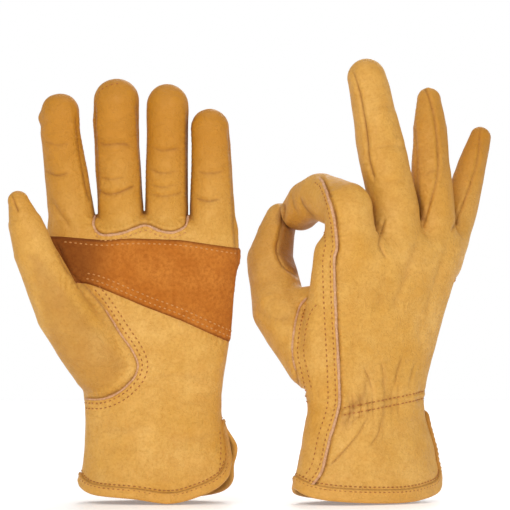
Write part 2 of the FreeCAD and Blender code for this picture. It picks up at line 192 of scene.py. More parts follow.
# The web of leather between thumb and hand.
WEBS = {
    "left": [(-46, 12, 108, 9.0), (-52, 4, 132, 7.0)],
    "right": [(-29, 37, 117, 9.0), (-17, 10, 121, 9.0)],
}
# The stalls, from inside the hand to the tip.
FINGERS = ("index", "middle", "ring", "little")
STALL_NAMES = FINGERS + ("thumb",)
STALLS = {
    "left": {
        "index": ([(-46.5, 0, 150, 14.5), (-50.2, 0, 175, 13.7), (-53.8, 3, 203, 12.5),
                   (-55.6, 7, 218, 12.0), (-55.8, 10, 229.6, 11.3)], 1.06),
        "middle": ([(-19.0, 0, 150, 14.5), (-20.7, 0, 179, 13.4), (-22.4, 3, 209, 13.3),
                    (-23.2, 7, 225, 13.8), (-22.6, 10, 236.6, 13.3)], 1.06),
        "ring": ([(6.5, 0, 150, 14.0), (6.7, 0, 178, 12.7), (7.0, 3, 207, 12.3), (7.2, 7, 222, 12.3),
                  (7.2, 10, 234.4, 12.2)], 1.06),
        "little": ([(33.8, 0, 146, 15.0), (33.5, 0, 173, 13.4), (33.2, 3, 198, 12.0),
                    (33.0, 6, 210, 11.6), (32.2, 9, 220.4, 11.2)], 1.06),
        "thumb": ([(-31.3, 9, 82, 18.8), (-54, 20, 112.5, 15.8), (-70.5, 27, 148, 12.7),
                   (-75.6, 29, 164, 10.5), (-79.8, 30, 178.1, 6.6)], 1.05),
    },
    "right": {
        "index": ([(-10, -2, 148, 15.0), (-11.5, 1, 173.8, 15.0), (-13.3, 30, 180, 14.0),
                   (-14.6, 42, 176.6, 13.2), (-14.7, 51, 170.8, 11.8)], 1.03),
        "middle": ([(22.5, 0, 142, 15.0), (21.4, 3, 171, 14.7), (14.6, 6, 205, 14.4), (10.6, 9, 229, 12.8),
                    (7.0, 11, 249.6, 11.5)], 1.04),
        "ring": ([(46.0, 2, 142, 14.0), (49.2, 4, 168, 12.4), (49.1, 8, 199, 11.6), (51.2, 12, 219, 10.4),
                  (52.9, 16, 236.5, 7.4)], 1.04),
        "little": ([(57.0, 7, 140, 11.3), (70.6, 13, 165, 10.6), (79.9, 16, 189, 9.2), (86.1, 18, 204, 7.5),
                    (91.0, 20, 214.4, 6.0)], 1.04),
        "thumb": ([(-27.3, 13, 84.5, 18.0), (-35.6, 40, 113, 16.4), (-28.6, 63, 142, 13.8),
                   (-22.0, 68, 155.5, 11.6), (-16.4, 71, 165.5, 9.8)], 1.05),
    },
}
# How softly the forms run into each other, in mm.
TOP_SOFT, FINGER_SOFT, WEB_SOFT, THUMB_SOFT, CORNER_SOFT = 10.0, 6.0, 10.0, 4.0, 3.0
FAR = 30.0  # the distance given where it is only known to be large

# Stalls that lie against each other: the two, the height their gap starts at, how far it leans to the first.
GAPS = {
    "left": [("index", "middle", 170, 0), ("middle", "ring", 172, 0), ("ring", "little", 169.5, 0)],
    "right": [("index", "middle", 160, 9), ("middle", "ring", 168, 0), ("ring", "little", 165, 0),
              ("index", "thumb", 140, 0)],
}
GAP = 0.7
GAP_DEEP = 6.0  # how far a gap reaches into a stall


def softened(columns, reach, width, mode="edge"):
    """Each column of numbers averaged under a bell curve."""
    kernel = np.exp(-0.5 * (np.arange(-reach, reach + 1) / width) ** 2)
    kernel /= kernel.sum()
    padded = [np.pad(column, reach, mode=mode) for column in columns.T]
    return np.stack([np.convolve(column, kernel, mode="valid") for column in padded], 1)


def smooth_table(side):
    """The sections resampled each millimetre and softened."""
    rows = np.array(SECTIONS[side], float)
    heights = np.arange(-12.0, 181.0)
    columns = np.stack([np.interp(heights, rows[:, 0], rows[:, c]) for c in range(1, 6)], 1)
    return heights, softened(columns, 12, 5.0).T


TABLES = {side: smooth_table(side) for side in SIDES}


def section(side, w):
    """Middle u, middle v, half width, half depth and squareness at a height."""
    heights, columns = TABLES[side]
    return [np.interp(w, heights, column) for column in columns]


def smooth_min(a, b, k):
    h = np.maximum(k - np.abs(a - b), 0.0) / k
    return np.minimum(a, b) - h * h * k * 0.25


def bar(p, a, b, flat):
    """Distance to a bar that tapers from point a to point b, a little flat in v."""
    start, end = np.array(a[:3], np.float32), np.array(b[:3], np.float32)
    way = end - start
    t = np.clip(((p - start) @ way) / float(way @ way), 0, 1)
    q = p - start - t[..., None] * way
    along = way / np.linalg.norm(way)
    side_way = np.array([1.0, 0, 0]) - along[0] * along
    side_way /= np.linalg.norm(side_way)
    front = np.cross(along, side_way)
    f = q @ front.astype(np.float32)
    d = np.sqrt((q * q).sum(-1) + f * f * (flat * flat - 1))
    return d - (a[3] + (b[3] - a[3]) * t)


def hand_distance(side, p):
    w = p[..., 2]
    cu, cv, a, b, n = section(side, w)
    x = np.abs(p[..., 0] - cu) / a
    y = np.abs(p[..., 1] - cv) / b
    r = (x**n + y**n + 1e-9) ** (1 / n)
    slope = np.sqrt((x ** (n - 1) / a) ** 2 + (y ** (n - 1) / b) ** 2 + 1e-9) * np.maximum(r, 0.15) ** (1 - n)
    d = (r - 1) / slope
    d = np.where(r < 0.5, np.minimum(d, -6.0), d)
    top = w - TOP[side]
    return -smooth_min(-d, -top, TOP_SOFT)


def chain(p, points, flat):
    """Distance to bars end to end; away from them it is only known to be large."""
    points = np.array(points, np.float32)
    reach = points[:, 3].max() + 9
    low, high = points[:, :3].min(0) - reach, points[:, :3].max(0) + reach
    if p.ndim == 4:
        lines = [p[:, 0, 0, 0], p[0, :, 0, 1], p[0, 0, :, 2]]
        where = tuple(slice(*np.searchsorted(line, (l, h))) for line, l, h in zip(lines, low, high))
    else:
        where = ((p > low) & (p < high)).all(-1)
    d = np.full(p.shape[:-1], FAR, np.float32)
    near = p[where]
    d[where] = np.minimum.reduce([bar(near, a, b, flat) for a, b in zip(points, points[1:])])
    return d


def stall_distances(side, p):
    stalls = {name: chain(p, *STALLS[side][name]) for name in STALL_NAMES}
    if CORNERS[side]:
        stalls["index"] = smooth_min(stalls["index"], chain(p, CORNERS[side], 1.0), CORNER_SOFT)
    return stalls


def distance(side, p, gap=GAP):
    """Distance to the outside of the whole glove, with a gap between neighbouring stalls."""
    p = p.astype(np.float32)
    stalls = stall_distances(side, p)
    fingers = np.minimum.reduce([stalls[finger] for finger in FINGERS])
    d = smooth_min(hand_distance(side, p), fingers, FINGER_SOFT)
    d = smooth_min(d, chain(p, WEBS[side], 1.0), WEB_SOFT)
    d = smooth_min(d, stalls["thumb"], THUMB_SOFT)
    for one, two, low, lean in GAPS[side]:
        slot = (gap - np.abs(stalls[one] - stalls[two] + lean)) / 2
        for limit in (GAP_DEEP - stalls[one], GAP_DEEP - stalls[two] + lean, p[..., 2] - low):
            slot = np.minimum(slot, limit)
        d = np.maximum(d, slot)
    return d


def ramp(x, low, high):
    t = np.clip((x - low) / (high - low), 0, 1)
    return t * t * (3 - 2 * t)


def pressed(side, p):
    """1 where two stalls lie against each other, falling to 0 some 3 mm away."""
    p = p.astype(np.float32)
    stalls = stall_distances(side, p)
    found = np.zeros(len(p))
    for one, two, low, lean in GAPS[side]:
        clear = (np.abs(stalls[one] - stalls[two] + lean) - GAP) / 2
        clear = np.maximum(clear, low - 1.0 - p[..., 2])
        clear = np.where(np.maximum(stalls[one], stalls[two]) < 9.0, clear, 9.0)
        found = np.maximum(found, 1 - ramp(clear, 0.0, 2.6))
    return found


# The cuff's edge: degrees round the cuff from the little finger's side by way of the palm, and height.
HEMS = {
    "left": [(4, 43), (6, 37), (9, 30), (14, 22.5), (22, 16), (34, 10.8), (54, 5.2), (79, 0.6), (106, 3.2),
             (140, 5.2), (165, 8.8), (180, 11.8), (198, 7.5), (230, 3), (270, 0.2), (310, 3), (333, 7),
             (345, 13), (351, 25), (354, 36), (356, 43)],
    "right": [(3, 46), (7, 36), (12, 22), (22, 11), (36, 6.5), (60, 2.4), (90, 0.4), (120, 2), (150, 5.5),
              (168, 8.9), (184, 7.0), (205, 4), (230, 2), (262, 0.8), (285, 0.9), (305, 2.8), (323, 5),
              (336, 9), (344, 15), (349, 24), (353, 36), (356, 46)],
}
BAND = {"left": 4.4, "right": 6.0}  # height of the hem's binding
ROLL = 2.1  # how far the binding reaches below the leather's edge


def smooth_line(line, parts=8):
    """A Catmull-Rom curve through the points of a line."""
    line = np.asarray(line, float)
    ends = np.vstack([2 * line[0] - line[1], line, 2 * line[-1] - line[-2]])
    t = np.arange(parts)[:, None] / parts
    runs = []
    for a, b, c, d in zip(ends, ends[1:], ends[2:], ends[3:]):
        curve = 2 * b + (c - a) * t + (2 * a - 5 * b + 4 * c - d) * t**2 + (3 * b - a - 3 * c + d) * t**3
        runs.append(0.5 * curve)
    return np.vstack(runs + [line[-1:]])


def cuff_angle(side, p):
    """Degrees round the cuff, 0 to 360."""
    cu, cv, a, b, _ = section(side, p[:, 2])
    return np.degrees(np.arctan2((p[:, 1] - cv) / b, (p[:, 0] - cu) / a)) % 360


def hem_height(side, p):
    line = smooth_line(HEMS[side])
    return np.interp(cuff_angle(side, p), line[:, 0], line[:, 1])


# ------------------------------------------------------------------ surface from the distance

BOUNDS = {"left": ((-95, -32, -6), (66, 46, 256)), "right": ((-62, -32, -6), (103, 86, 266))}
CELL, INNER_CELL = 1.5, 3.5  # grid of the outer and the inner skin
OUTER_GAP = 3.4  # gap between stalls that the grid can catch; settling narrows it to GAP
WALL = 1.3  # thickness of the leather
INNER_DEEP = WALL + 0.5


def surface_net(side, cell, gap, depth=0.0):
    """Quads at a depth inside the zero of the distance, by the surface-nets method."""
    low, high = BOUNDS[side]
    counts = [int(math.ceil((h - l) / cell)) + 1 for l, h in zip(low, high)]
    grids = [l + cell * np.arange(n) for l, n in zip(low, counts)]
    u, v, w = np.meshgrid(*grids, indexing="ij")
    s = distance(side, np.stack([u, v, w], -1), gap) + depth
    inside = s < 0
    core = tuple(np.array(s.shape) - 1)
    total = np.zeros(core + (3,), np.float32)
    hits = np.zeros(core, np.int32)
    for axis in range(3):
        others = [a for a in range(3) if a != axis]
        for da in (0, 1):
            for db in (0, 1):
                offset = [0, 0, 0]
                offset[others[0]], offset[others[1]] = da, db
                near = tuple(slice(o, o + c) for o, c in zip(offset, core))
                step = list(offset)
                step[axis] += 1
                far = tuple(slice(o, o + c) for o, c in zip(step, core))
                cross = inside[near] != inside[far]
                a, b = s[near], s[far]
                with np.errstate(divide="ignore", invalid="ignore"):
                    t = np.where(cross, a / (a - b), 0)
                for axis2 in range(3):
                    value = t if axis2 == axis else float(offset[axis2])
                    total[..., axis2] += np.where(cross, value, 0)
                hits += cross
    full = hits > 0
    index = np.full(core, -1, np.int64)
    index[full] = np.arange(int(full.sum()))
    base = np.stack(np.nonzero(full), -1)
    points = (base + total[full] / hits[full][:, None]) * cell + np.array(low)
    quads = []
    for axis in range(3):
        b, c = (axis + 1) % 3, (axis + 2) % 3
        near = [slice(1, -1)] * 3
        near[axis] = slice(0, -1)
        far = list(near)
        far[axis] = slice(1, None)
        cross = inside[tuple(near)] != inside[tuple(far)]
        where = np.stack(np.nonzero(cross), -1)
        where = where + np.array([0 if a == axis else 1 for a in range(3)])
        out = inside[tuple(where.T)]
        corner = []
        for db, dc in ((0, 0), (-1, 0), (-1, -1), (0, -1)):
            place = where.copy()
            place[:, b] += db
            place[:, c] += dc
            corner.append(index[tuple(place.T)])
        quad = np.stack(corner, -1)
        quad[~out] = quad[~out][:, ::-1]
        quads.append(quad)
    return points, np.concatenate(quads)


def unit_rows(v, least=1e-9):
    return v / np.maximum(np.linalg.norm(v, axis=-1, keepdims=True), least)


def gradient(side, p):
    """The way out of the glove at each point."""
    parts = []
    for step in np.eye(3) * 0.25:
        parts.append(distance(side, p + step) - distance(side, p - step))
    return unit_rows(np.stack(parts, -1), 1e-6)


def settle(side, p, rounds, depth=0.0):
    """Moves points onto the zero of the distance, or to a depth inside it."""
    for _ in range(rounds):
        p = p - gradient(side, p) * (distance(side, p) + depth)[:, None]
    return p


def make_mesh(name, points, faces):
    mesh = bpy.data.meshes.new(name)
    faces = np.asarray(faces, np.int32)
    sides = faces.shape[1]
    mesh.vertices.add(len(points))
    mesh.vertices.foreach_set("co", np.asarray(points, np.float32).ravel())
    mesh.loops.add(faces.size)
    mesh.loops.foreach_set("vertex_index", faces.ravel())
    mesh.polygons.add(len(faces))
    mesh.polygons.foreach_set("loop_start", np.arange(0, faces.size, sides, dtype=np.int32))
    mesh.polygons.foreach_set("loop_total", np.full(len(faces), sides, np.int32))
    mesh.update(calc_edges=True)
    mesh.validate()
    mesh.polygons.foreach_set("use_smooth", np.ones(len(mesh.polygons), bool))
    return mesh


def add_object(name, mesh):
    obj = bpy.data.objects.new(name, mesh)
    scene.collection.objects.link(obj)
    return obj


def subdivided(points, faces):
    """Each quad cut in four, smoothed the Catmull-Clark way."""
    mesh = make_mesh("rough", points, faces)
    obj = add_object("rough", mesh)
    change = obj.modifiers.new("sub", "SUBSURF")
    change.levels = change.render_levels = 1
    done = obj.evaluated_get(bpy.context.evaluated_depsgraph_get())
    fine = done.to_mesh()
    co = np.empty(len(fine.vertices) * 3, np.float32)
    fine.vertices.foreach_get("co", co)
    loops = np.empty(len(fine.loops), np.int32)
    fine.loops.foreach_get("vertex_index", loops)
    done.to_mesh_clear()
    bpy.data.objects.remove(obj)
    bpy.data.meshes.remove(mesh)
    return co.reshape(-1, 3).astype(float), loops.reshape(-1, 4)


def vertex_normals(points, faces):
    a, b, c, d = (points[faces[:, k]] for k in range(4))
    face_normals = np.cross(c - a, d - b)
    normals = np.zeros_like(points)
    for k in range(4):
        for axis in range(3):
            normals[:, axis] += np.bincount(faces[:, k], face_normals[:, axis], len(points))
    return unit_rows(normals)


def noise(p, size, seed):
    """Smooth random numbers from about -1 to 1, one per point."""
    q = p / size + seed * 17.31
    cell = np.floor(q).astype(np.int64)
    f = q - cell
    f = f * f * (3 - 2 * f)
    total = np.zeros(len(p))
    for corner in range(8):
        offset = np.array([corner & 1, (corner >> 1) & 1, corner >> 2])
        c = cell + offset
        h = (c[:, 0] * 73856093) ^ (c[:, 1] * 19349663) ^ (c[:, 2] * 83492791) ^ (seed * 7919)
        h = (h * 2654435761) & 0xFFFFFFFF
        h = ((h ^ (h >> 15)) * 2246822519) & 0xFFFFFFFF
        value = ((h >> 9) & 0xFFFF) / 32767.5 - 1
        total += value * np.where(offset, f, 1 - f).prod(1)
    return total


# ------------------------------------------------------------------ seams, folds and rows of thread

# Lines are drawn as (s, w) in mm on one of three views of a glove: from the front of the pair, straight on
# the palm or straight on the back.  s runs to the right in the front view and along u in the other two.


def view_of(side, view):
    """The way of s and the way of looking, in the row's frame."""
    if view == "front":
        return np.array([1.0, 0, 0]), np.array([0, 1.0, 0])
    u, v, _ = axes(side)
    return (u, -v) if view == "palm" else (u, v)


def seen(side, view, p, n):
    """s, w and how far each point faces the viewer; p and n in the hand frame."""
    across, look = view_of(side, view)
    turn = axes(side)
    return p @ (turn @ across), p[:, 2], -(n @ (turn @ look))


def line_distance(s, w, line):
    """Signed distance to a line (positive on its left), how far along it, and its length."""
    best = np.full(len(s), 1e3)
    signed = np.full(len(s), 1e3)
    along = np.zeros(len(s))
    run = 0.0
    for (s0, w0), (s1, w1) in zip(line, line[1:]):
        ds, dw = s1 - s0, w1 - w0
        length = math.hypot(ds, dw)
        t = np.clip(((s - s0) * ds + (w - w0) * dw) / length**2, 0, 1)
        es, ew = s - s0 - t * ds, w - w0 - t * dw
        d = np.hypot(es, ew)
        closer = d < best
        best = np.where(closer, d, best)
        signed = np.where(closer, np.where(ds * ew - dw * es > 0, d, -d), signed)
        along = np.where(closer, run + t * length, along)
        run += length
    return signed, along, run


def inside_by(s, w, corners):
    """Distance in from the edge of a polygon; negative outside."""
    closed = list(corners) + [corners[0]]
    signed, _, _ = line_distance(s, w, closed)
    inside = np.zeros(len(s), bool)
    for (s0, w0), (s1, w1) in zip(closed, closed[1:]):
        if w0 != w1:
            inside ^= ((w0 > w) != (w1 > w)) & (s < (s1 - s0) * (w - w0) / (w1 - w0) + s0)
    return np.where(inside, np.abs(signed), -np.abs(signed))


# Lines that both the leather and the threads or edges on it follow.
LEFT_THUMB = [(-58, 154), (-51, 138), (-40, 127), (-31, 116), (-21, 101), (-13, 89), (-10.5, 81), (-13.5, 74),
              (-21, 67), (-31, 62.5), (-43, 62)]
LEFT_BACK = [(-26, 6), (-28, 60), (-33, 110), (-38, 150), (-46, 180), (-50, 200), (-52, 215)]
RIGHT_THUMB = [(-33.5, 122), (-38.5, 116), (-41.5, 106), (-43.2, 94), (-43, 86), (-40.5, 75), (-38.5, 64)]
RIGHT_BACK = [(-33.5, 8), (-30, 13), (-25, 21), (-21, 38), (-15.5, 57), (-15.2, 72), (-16, 90), (-17.5, 120),
              (-18, 143), (-16.5, 152), (-18.5, 170), (-23.5, 186), (-27.5, 193)]
RIGHT_BALL = [(-40, 66), (-22, 68), (-9, 80), (-5, 96), (-10, 112), (-20, 122)]
RIGHT_WELT = [(6, 156), (14, 152.5), (28, 154), (36, 152.5), (50, 153), (60, 156)]

# By view: a line, depth, width and fade at the ends; for a seam also its step (the left side stands proud)
# and its pucker.  Each line is pressed into the leather, and shade is painted along it.
FOLDS = {
    "left": {
        "front": [
            # round the thumb
            (LEFT_THUMB, 1.1, 1.1, 5, -0.5, 0.3),
            # where the two-finger front is let in
            ([(-34.6, 170.8), (-35.7, 164), (-31, 158.9), (-20, 159.9), (-11, 163.2), (-5, 164.4), (3, 161.4),
              (11, 160.4), (17.6, 164), (18.8, 171)], 1.2, 0.8, 3, 0.6, 0.35),
            ([(-60, 131), (-40, 129), (-6, 116.5), (15, 108), (45, 94.5)], 0.5, 1.6, 5, 0.0, 0.3),
            # finger creases
            ([(-34, 183.5), (-27, 182), (-20, 183.5), (-11, 187)], 1.1, 1.3, 4, 0.3, 0),
            ([(-33, 192.5), (-26, 190.5), (-17, 192)], 0.6, 1.3, 5),
            ([(-35, 213), (-29, 210.5), (-20, 211.5), (-13, 209)], 0.8, 1.5, 5),
            ([(-4.5, 182), (3, 180.5), (12, 181.5), (17, 183.5)], 0.7, 1.2, 4),
            ([(-4, 187.5), (4, 186), (14, 187.5)], 0.6, 1.2, 4),
            ([(-4.5, 197), (4, 194.5), (15, 196)], 0.6, 1.3, 5),
            ([(-3, 209.5), (6, 207.5), (16, 209)], 0.7, 1.4, 5),
            ([(22, 180), (30, 177.5), (40, 179)], 0.8, 1.3, 5),
            ([(24, 196), (32, 194), (42, 196.5)], 0.7, 1.4, 5),
            ([(-62, 180), (-57, 172), (-52, 166), (-49, 160)], 0.9, 1.6, 5, 0.3, 0),
            ([(-66, 196), (-58, 193), (-49, 195)], 0.7, 1.5, 5),
            ([(-66, 213), (-58, 211), (-49, 212)], 0.5, 1.4, 5),
            # side seams of the fingers
            ([(-46.6, 230), (-45.6, 219), (-42.5, 196), (-38, 176)], 0.8, 0.9, 6, 0, 0.2),
            ([(-35.4, 236), (-35.2, 215), (-33.5, 190), (-34, 174)], 0.7, 0.9, 6, 0, 0.2),
            ([(-10.6, 238), (-9.6, 215), (-8, 195), (-7, 176)], 0.6, 0.9, 6, 0, 0.2),
            ([(19.0, 234), (18.9, 212), (18.8, 190), (19.2, 176)], 0.6, 0.9, 6, 0, 0.2),
            ([(43.0, 221), (44.6, 204), (45.5, 184), (47, 160), (48, 140), (46, 118)], 0.7, 0.9, 8, 0, 0.2),
            # tip of the thumb
            ([(-84.2, 183), (-81.5, 177), (-79.4, 171.5)], 0.9, 0.9, 2),
            ([(-72, 140), (-66, 143), (-58, 141)], 0.6, 1.6, 6),
            ([(-68, 124), (-60, 128), (-52, 126)], 0.5, 1.8, 7),
            # ball of the thumb and heel of the hand
            ([(-46, 98), (-34, 94), (-24, 84)], 0.5, 2.6, 8),
            ([(-6, 72), (10, 76), (30, 74)], 0.5, 2.4, 8),
            ([(-40, 47), (-24, 43), (-4, 45)], 0.5, 3.0, 12),
            ([(0, 41), (18, 38), (40, 41)], 0.4, 2.8, 12),
            ([(-38, 30), (-20, 33), (2, 29)], 0.3, 2.8, 12),
            ([(6, 56), (22, 60), (38, 57)], 0.4, 2.4, 10),
        ],
        "back": [
            (LEFT_BACK, 0.9, 1.1, 6, 0.6, 0.3),
            ([(-20, 166), (-21, 150), (-19, 128), (-14, 108)], 0.8, 1.6, 6, 0, 0.3),
            ([(6, 166), (5, 150), (4, 128), (2, 108)], 0.8, 1.6, 6, 0, 0.3),
            ([(32, 162), (29, 148), (24, 128), (18, 108)], 0.8, 1.6, 6, 0, 0.3),
            ([(-33, 185), (-21, 187), (-10, 185)], 0.7, 1.6, 5),
            ([(-4, 187), (7, 189), (18, 187)], 0.6, 1.6, 5),
            ([(23, 182), (33, 184), (44, 182)], 0.6, 1.6, 5),
        ],
    },
    "right": {
        "front": [
            # side seams of the fingers
            ([(-8.4, 256), (-5.5, 248), (-2.6, 236), (0.4, 218), (2.2, 202), (5.6, 188)],
             1.0, 1.0, 6, 0.35, 0.12),
            ([(33, 247), (36.8, 240), (40.6, 226), (42.8, 206), (42.2, 192), (37.5, 174), (33.0, 160)],
             0.9, 0.9, 5, 0.3, 0.12),
            ([(68.4, 220), (67.4, 206), (64.5, 193), (57.5, 174), (50, 157)], 0.8, 0.8, 5, 0.3, 0.1),
            ([(23.5, 247), (27.5, 230), (29.5, 210), (30.2, 190), (31, 172)], 0.5, 0.9, 6, 0, 0.2),
            ([(11.5, 168), (9.0, 160), (7.8, 152), (12.0, 143)], 0.8, 0.9, 4, 0.3, 0.2),
            # the long seam
            (RIGHT_BACK, 1.3, 1.0, 4, 0.7, 0.35),
            # the thumb's seam
            (RIGHT_THUMB, 1.0, 0.9, 5, 0.5, 0.25),
            ([(-49.4, 178), (-48.6, 168), (-51, 157), (-52.3, 146), (-48, 138.5), (-42.5, 134.5), (-34, 129)],
             1.2, 1.1, 5, -0.4, 0),
            # creases of index and thumb
            ([(-39, 181), (-37.6, 176), (-33.5, 170), (-29, 166)], 0.9, 1.2, 4, 0.3, 0),
            ([(-43.5, 183), (-42.5, 174), (-39, 167)], 0.6, 1.4, 5),
            ([(-33, 150), (-36, 140), (-39, 130)], 0.6, 1.8, 6),
            ([(-70, 118), (-60, 110), (-50, 108), (-42, 112)], 1.0, 2.6, 6),
            ([(-72, 132), (-62, 128), (-52, 132)], 0.6, 2.6, 8),
            # hollows between the tendons, knuckles, back of the hand
            ([(31.5, 160), (27, 146), (21, 130), (15, 112)], 1.1, 3.0, 10),
            ([(49.5, 157), (45, 142), (40, 126), (34, 108)], 0.9, 2.8, 10),
            ([(12, 143), (9, 128), (6, 110)], 0.7, 3.0, 10),
            ([(6, 190), (14, 188), (26, 190)], 0.6, 1.8, 6),
            ([(3, 207), (14, 210), (27, 207)], 0.8, 1.6, 5),
            ([(0, 230), (10, 233), (24, 231)], 0.5, 1.6, 5),
            ([(34, 192), (40, 195), (45, 193)], 0.5, 1.4, 4),
            ([(34, 112), (31, 100), (34, 90)], 0.7, 2.0, 9),
            ([(-9, 112), (-7, 98), (-10, 84)], 0.5, 2.2, 9),
            # cuff and wrist
            ([(-22.6, 22.5), (-13, 32), (-5, 42), (0.2, 51)], 1.0, 0.8, 5, 0.2, 0),
            ([(1, 33.6), (6.5, 41), (9, 50)], 0.8, 0.8, 5),
            ([(3.5, 66), (1.5, 74), (-2, 82)], 0.7, 0.7, 5),
            ([(9, 67), (10, 76), (8, 86)], 0.8, 0.8, 5),
            ([(16, 68), (18, 77), (22, 88)], 0.8, 0.8, 5),
            ([(24, 69), (27, 78), (30, 84)], 0.6, 0.8, 5),
            ([(-13, 44), (-6, 51), (0, 54)], 0.6, 1.4, 6),
        ],
        "palm": [
            ([(-14, 126), (0, 118), (16, 116), (40, 120)], 1.0, 2.6, 8),
            ([(0, 141), (20, 134), (46, 140), (60, 144)], 0.9, 2.4, 8),
            (RIGHT_BALL, 1.1, 1.1, 5, 0, 0.3),
            (RIGHT_WELT, 0.9, 1.1, 3, 0.5, 0.35),
            ([(10, 188), (18, 186), (26, 188)], 0.9, 1.6, 4),
            ([(38, 184), (49, 182), (58, 184)], 0.7, 1.4, 4),
            ([(-36, 44), (-14, 41), (8, 43), (30, 40)], 0.8, 2.6, 9),
            ([(-30, 28), (-10, 31), (14, 27), (34, 30)], 0.6, 2.8, 9),
        ],
    },
}

# Painted shade on parts of a stall: the stall, amount, soft edge, and corners in the front view.
SHADES = {
    "left": [("thumb", 0.3, 7.0, ((-66, 150), (-50, 128), (-34, 108), (-20, 92), (-14, 82), (-24, 66),
                                  (-44, 60), (-62, 90), (-78, 150)))],
    "right": [("thumb", 0.8, 1.6, ((-48.6, 176), (-51, 157), (-52.3, 146), (-48, 138.5), (-42.5, 134.5),
                                   (-34, 129), (-26, 134), (-33, 150), (-33, 176))),
              ("index", 0.6, 7.0, ((-52, 168), (-40, 166), (-28, 170), (-22, 164), (-22, 150), (-52, 150)))],
}

# Gathers over the wrist elastic: view, both ends of the upper row, distance down to the lower row.
GATHERS = {
    "left": ("back", (-26, 59.5), (26, 59.5), 4.6),
    "right": ("front", (-14, 57.0), (34.5, 65.5), 4.2),
}
SEED = {"left": 3, "right": 11}


def bell(x, width):
    return np.exp(-((x / width) ** 2))


def flap(side, p):
    """How far the left glove's back leather bulges out beside the slit."""
    if side == "right":
        return 0.0
    return 5.5 * (bell(p[:, 2] - 34, 8.5) * bell(cuff_angle(side, p) - 346, 12))


def fold_over(side, height, deep, p, n):
    """Presses the folds and seams into height, and paints shade along them into deep."""
    seed = SEED[side]
    for view, folds in FOLDS[side].items():
        s, w, facing = seen(side, view, p, n)
        for line, depth, width, fade, *proud in folds:
            step, pucker = proud or (0, 0)
            line = smooth_line(line, 5)
            low, high = line.min(0) - 8, line.max(0) + 8
            near = (s > low[0]) & (s < high[0]) & (w > low[1]) & (w < high[1]) & (facing > -0.1)
            near = np.nonzero(near)[0]
            signed, along, length = line_distance(s[near], w[near], line)
            wave = 0.35 * noise(p[near], 6.0, seed + 5) if not pucker else 0.0
            signed = signed + wave * width
            ends = ramp(np.minimum(along, length - along), -0.5, fade) * ramp(facing[near], -0.1, 0.3)
            uneven = 0.8 + 0.3 * noise(p[near], 9.0, seed + 6)
            valley = np.exp(-np.abs(signed / width) ** 1.5) * ends * uneven
            lips = bell(np.abs(signed) - 2.3 * width, 1.2 * width) * ends
            height[near] += -depth * valley + 0.3 * depth * lips
            if step:
                height[near] += step * ends * np.where(signed > 0, bell(signed, 5.0), 0)
            if pucker:
                rows = np.sin(2 * np.pi * along / 3.3 + noise(p[near], 9.0, 8))
                height[near] += pucker * 0.7 * ends * bell(np.abs(signed) - 2.2, 2.4) * rows
            # painted shade in the crease
            painted_crease_shade = np.exp(-np.abs(signed / (0.55 * width)) ** 1.5) * ends * uneven
            painted_crease_shade = painted_crease_shade * min(depth, 1.2) / 1.2 * (0.3 if width > 1.5 else 1.0)
            deep[near] = np.maximum(deep[near], painted_crease_shade)


def gather(side, height, deep, p, n):
    """Gathers the leather over the wrist elastic, and paints shade into its creases and rows."""
    seed = SEED[side]
    view, one, two, drop = GATHERS[side]
    s, w, facing = seen(side, view, p, n)
    slope = (two[1] - one[1]) / (two[0] - one[0])
    below = one[1] + slope * (s - one[0]) - w
    middle = below - drop / 2
    face = ramp(facing, 0.0, 0.3) * ramp(s, one[0] - 6, one[0] + 2) * (1 - ramp(s, two[0] - 2, two[0] + 7))
    fan = s - (one[0] + two[0]) / 2
    fan = fan / (1 + 0.006 * np.abs(middle))
    ripple = 1 - 3.2 * np.abs(noise(np.stack([fan, middle * 0.10, 0 * s], 1), 3.6, seed + 9))
    wide = 1 - 3.0 * np.abs(noise(np.stack([fan, middle * 0.10, 0 * s + 5], 1), 9.0, seed + 10))
    ripple, wide = -np.clip(ripple, -1, 1), -np.clip(wide, -1, 1)
    fine = bell(middle, 9.0)
    broad = bell(np.maximum(np.abs(middle) - 2, 0), np.where(middle < 0, 17.0, 13.0))
    height += face * (0.85 * ripple * fine + 0.7 * wide * broad + 0.3 * broad)
    rows = bell(below, 1.0) + bell(below - drop, 1.0)
    height += face * (-0.6 * rows + 0.35 * bell(middle, 1.4))
    # painted shade in the gathers' creases and along the rows of stitches
    painted_gather_shade = np.clip(-0.9 * ripple, 0, 1) ** 3 * fine + 0.9 * np.clip(-0.95 * wide, 0, 1) ** 3 * broad
    return np.maximum(deep, face * np.clip(0.12 * rows + 0.6 * painted_gather_shade, 0, 1))


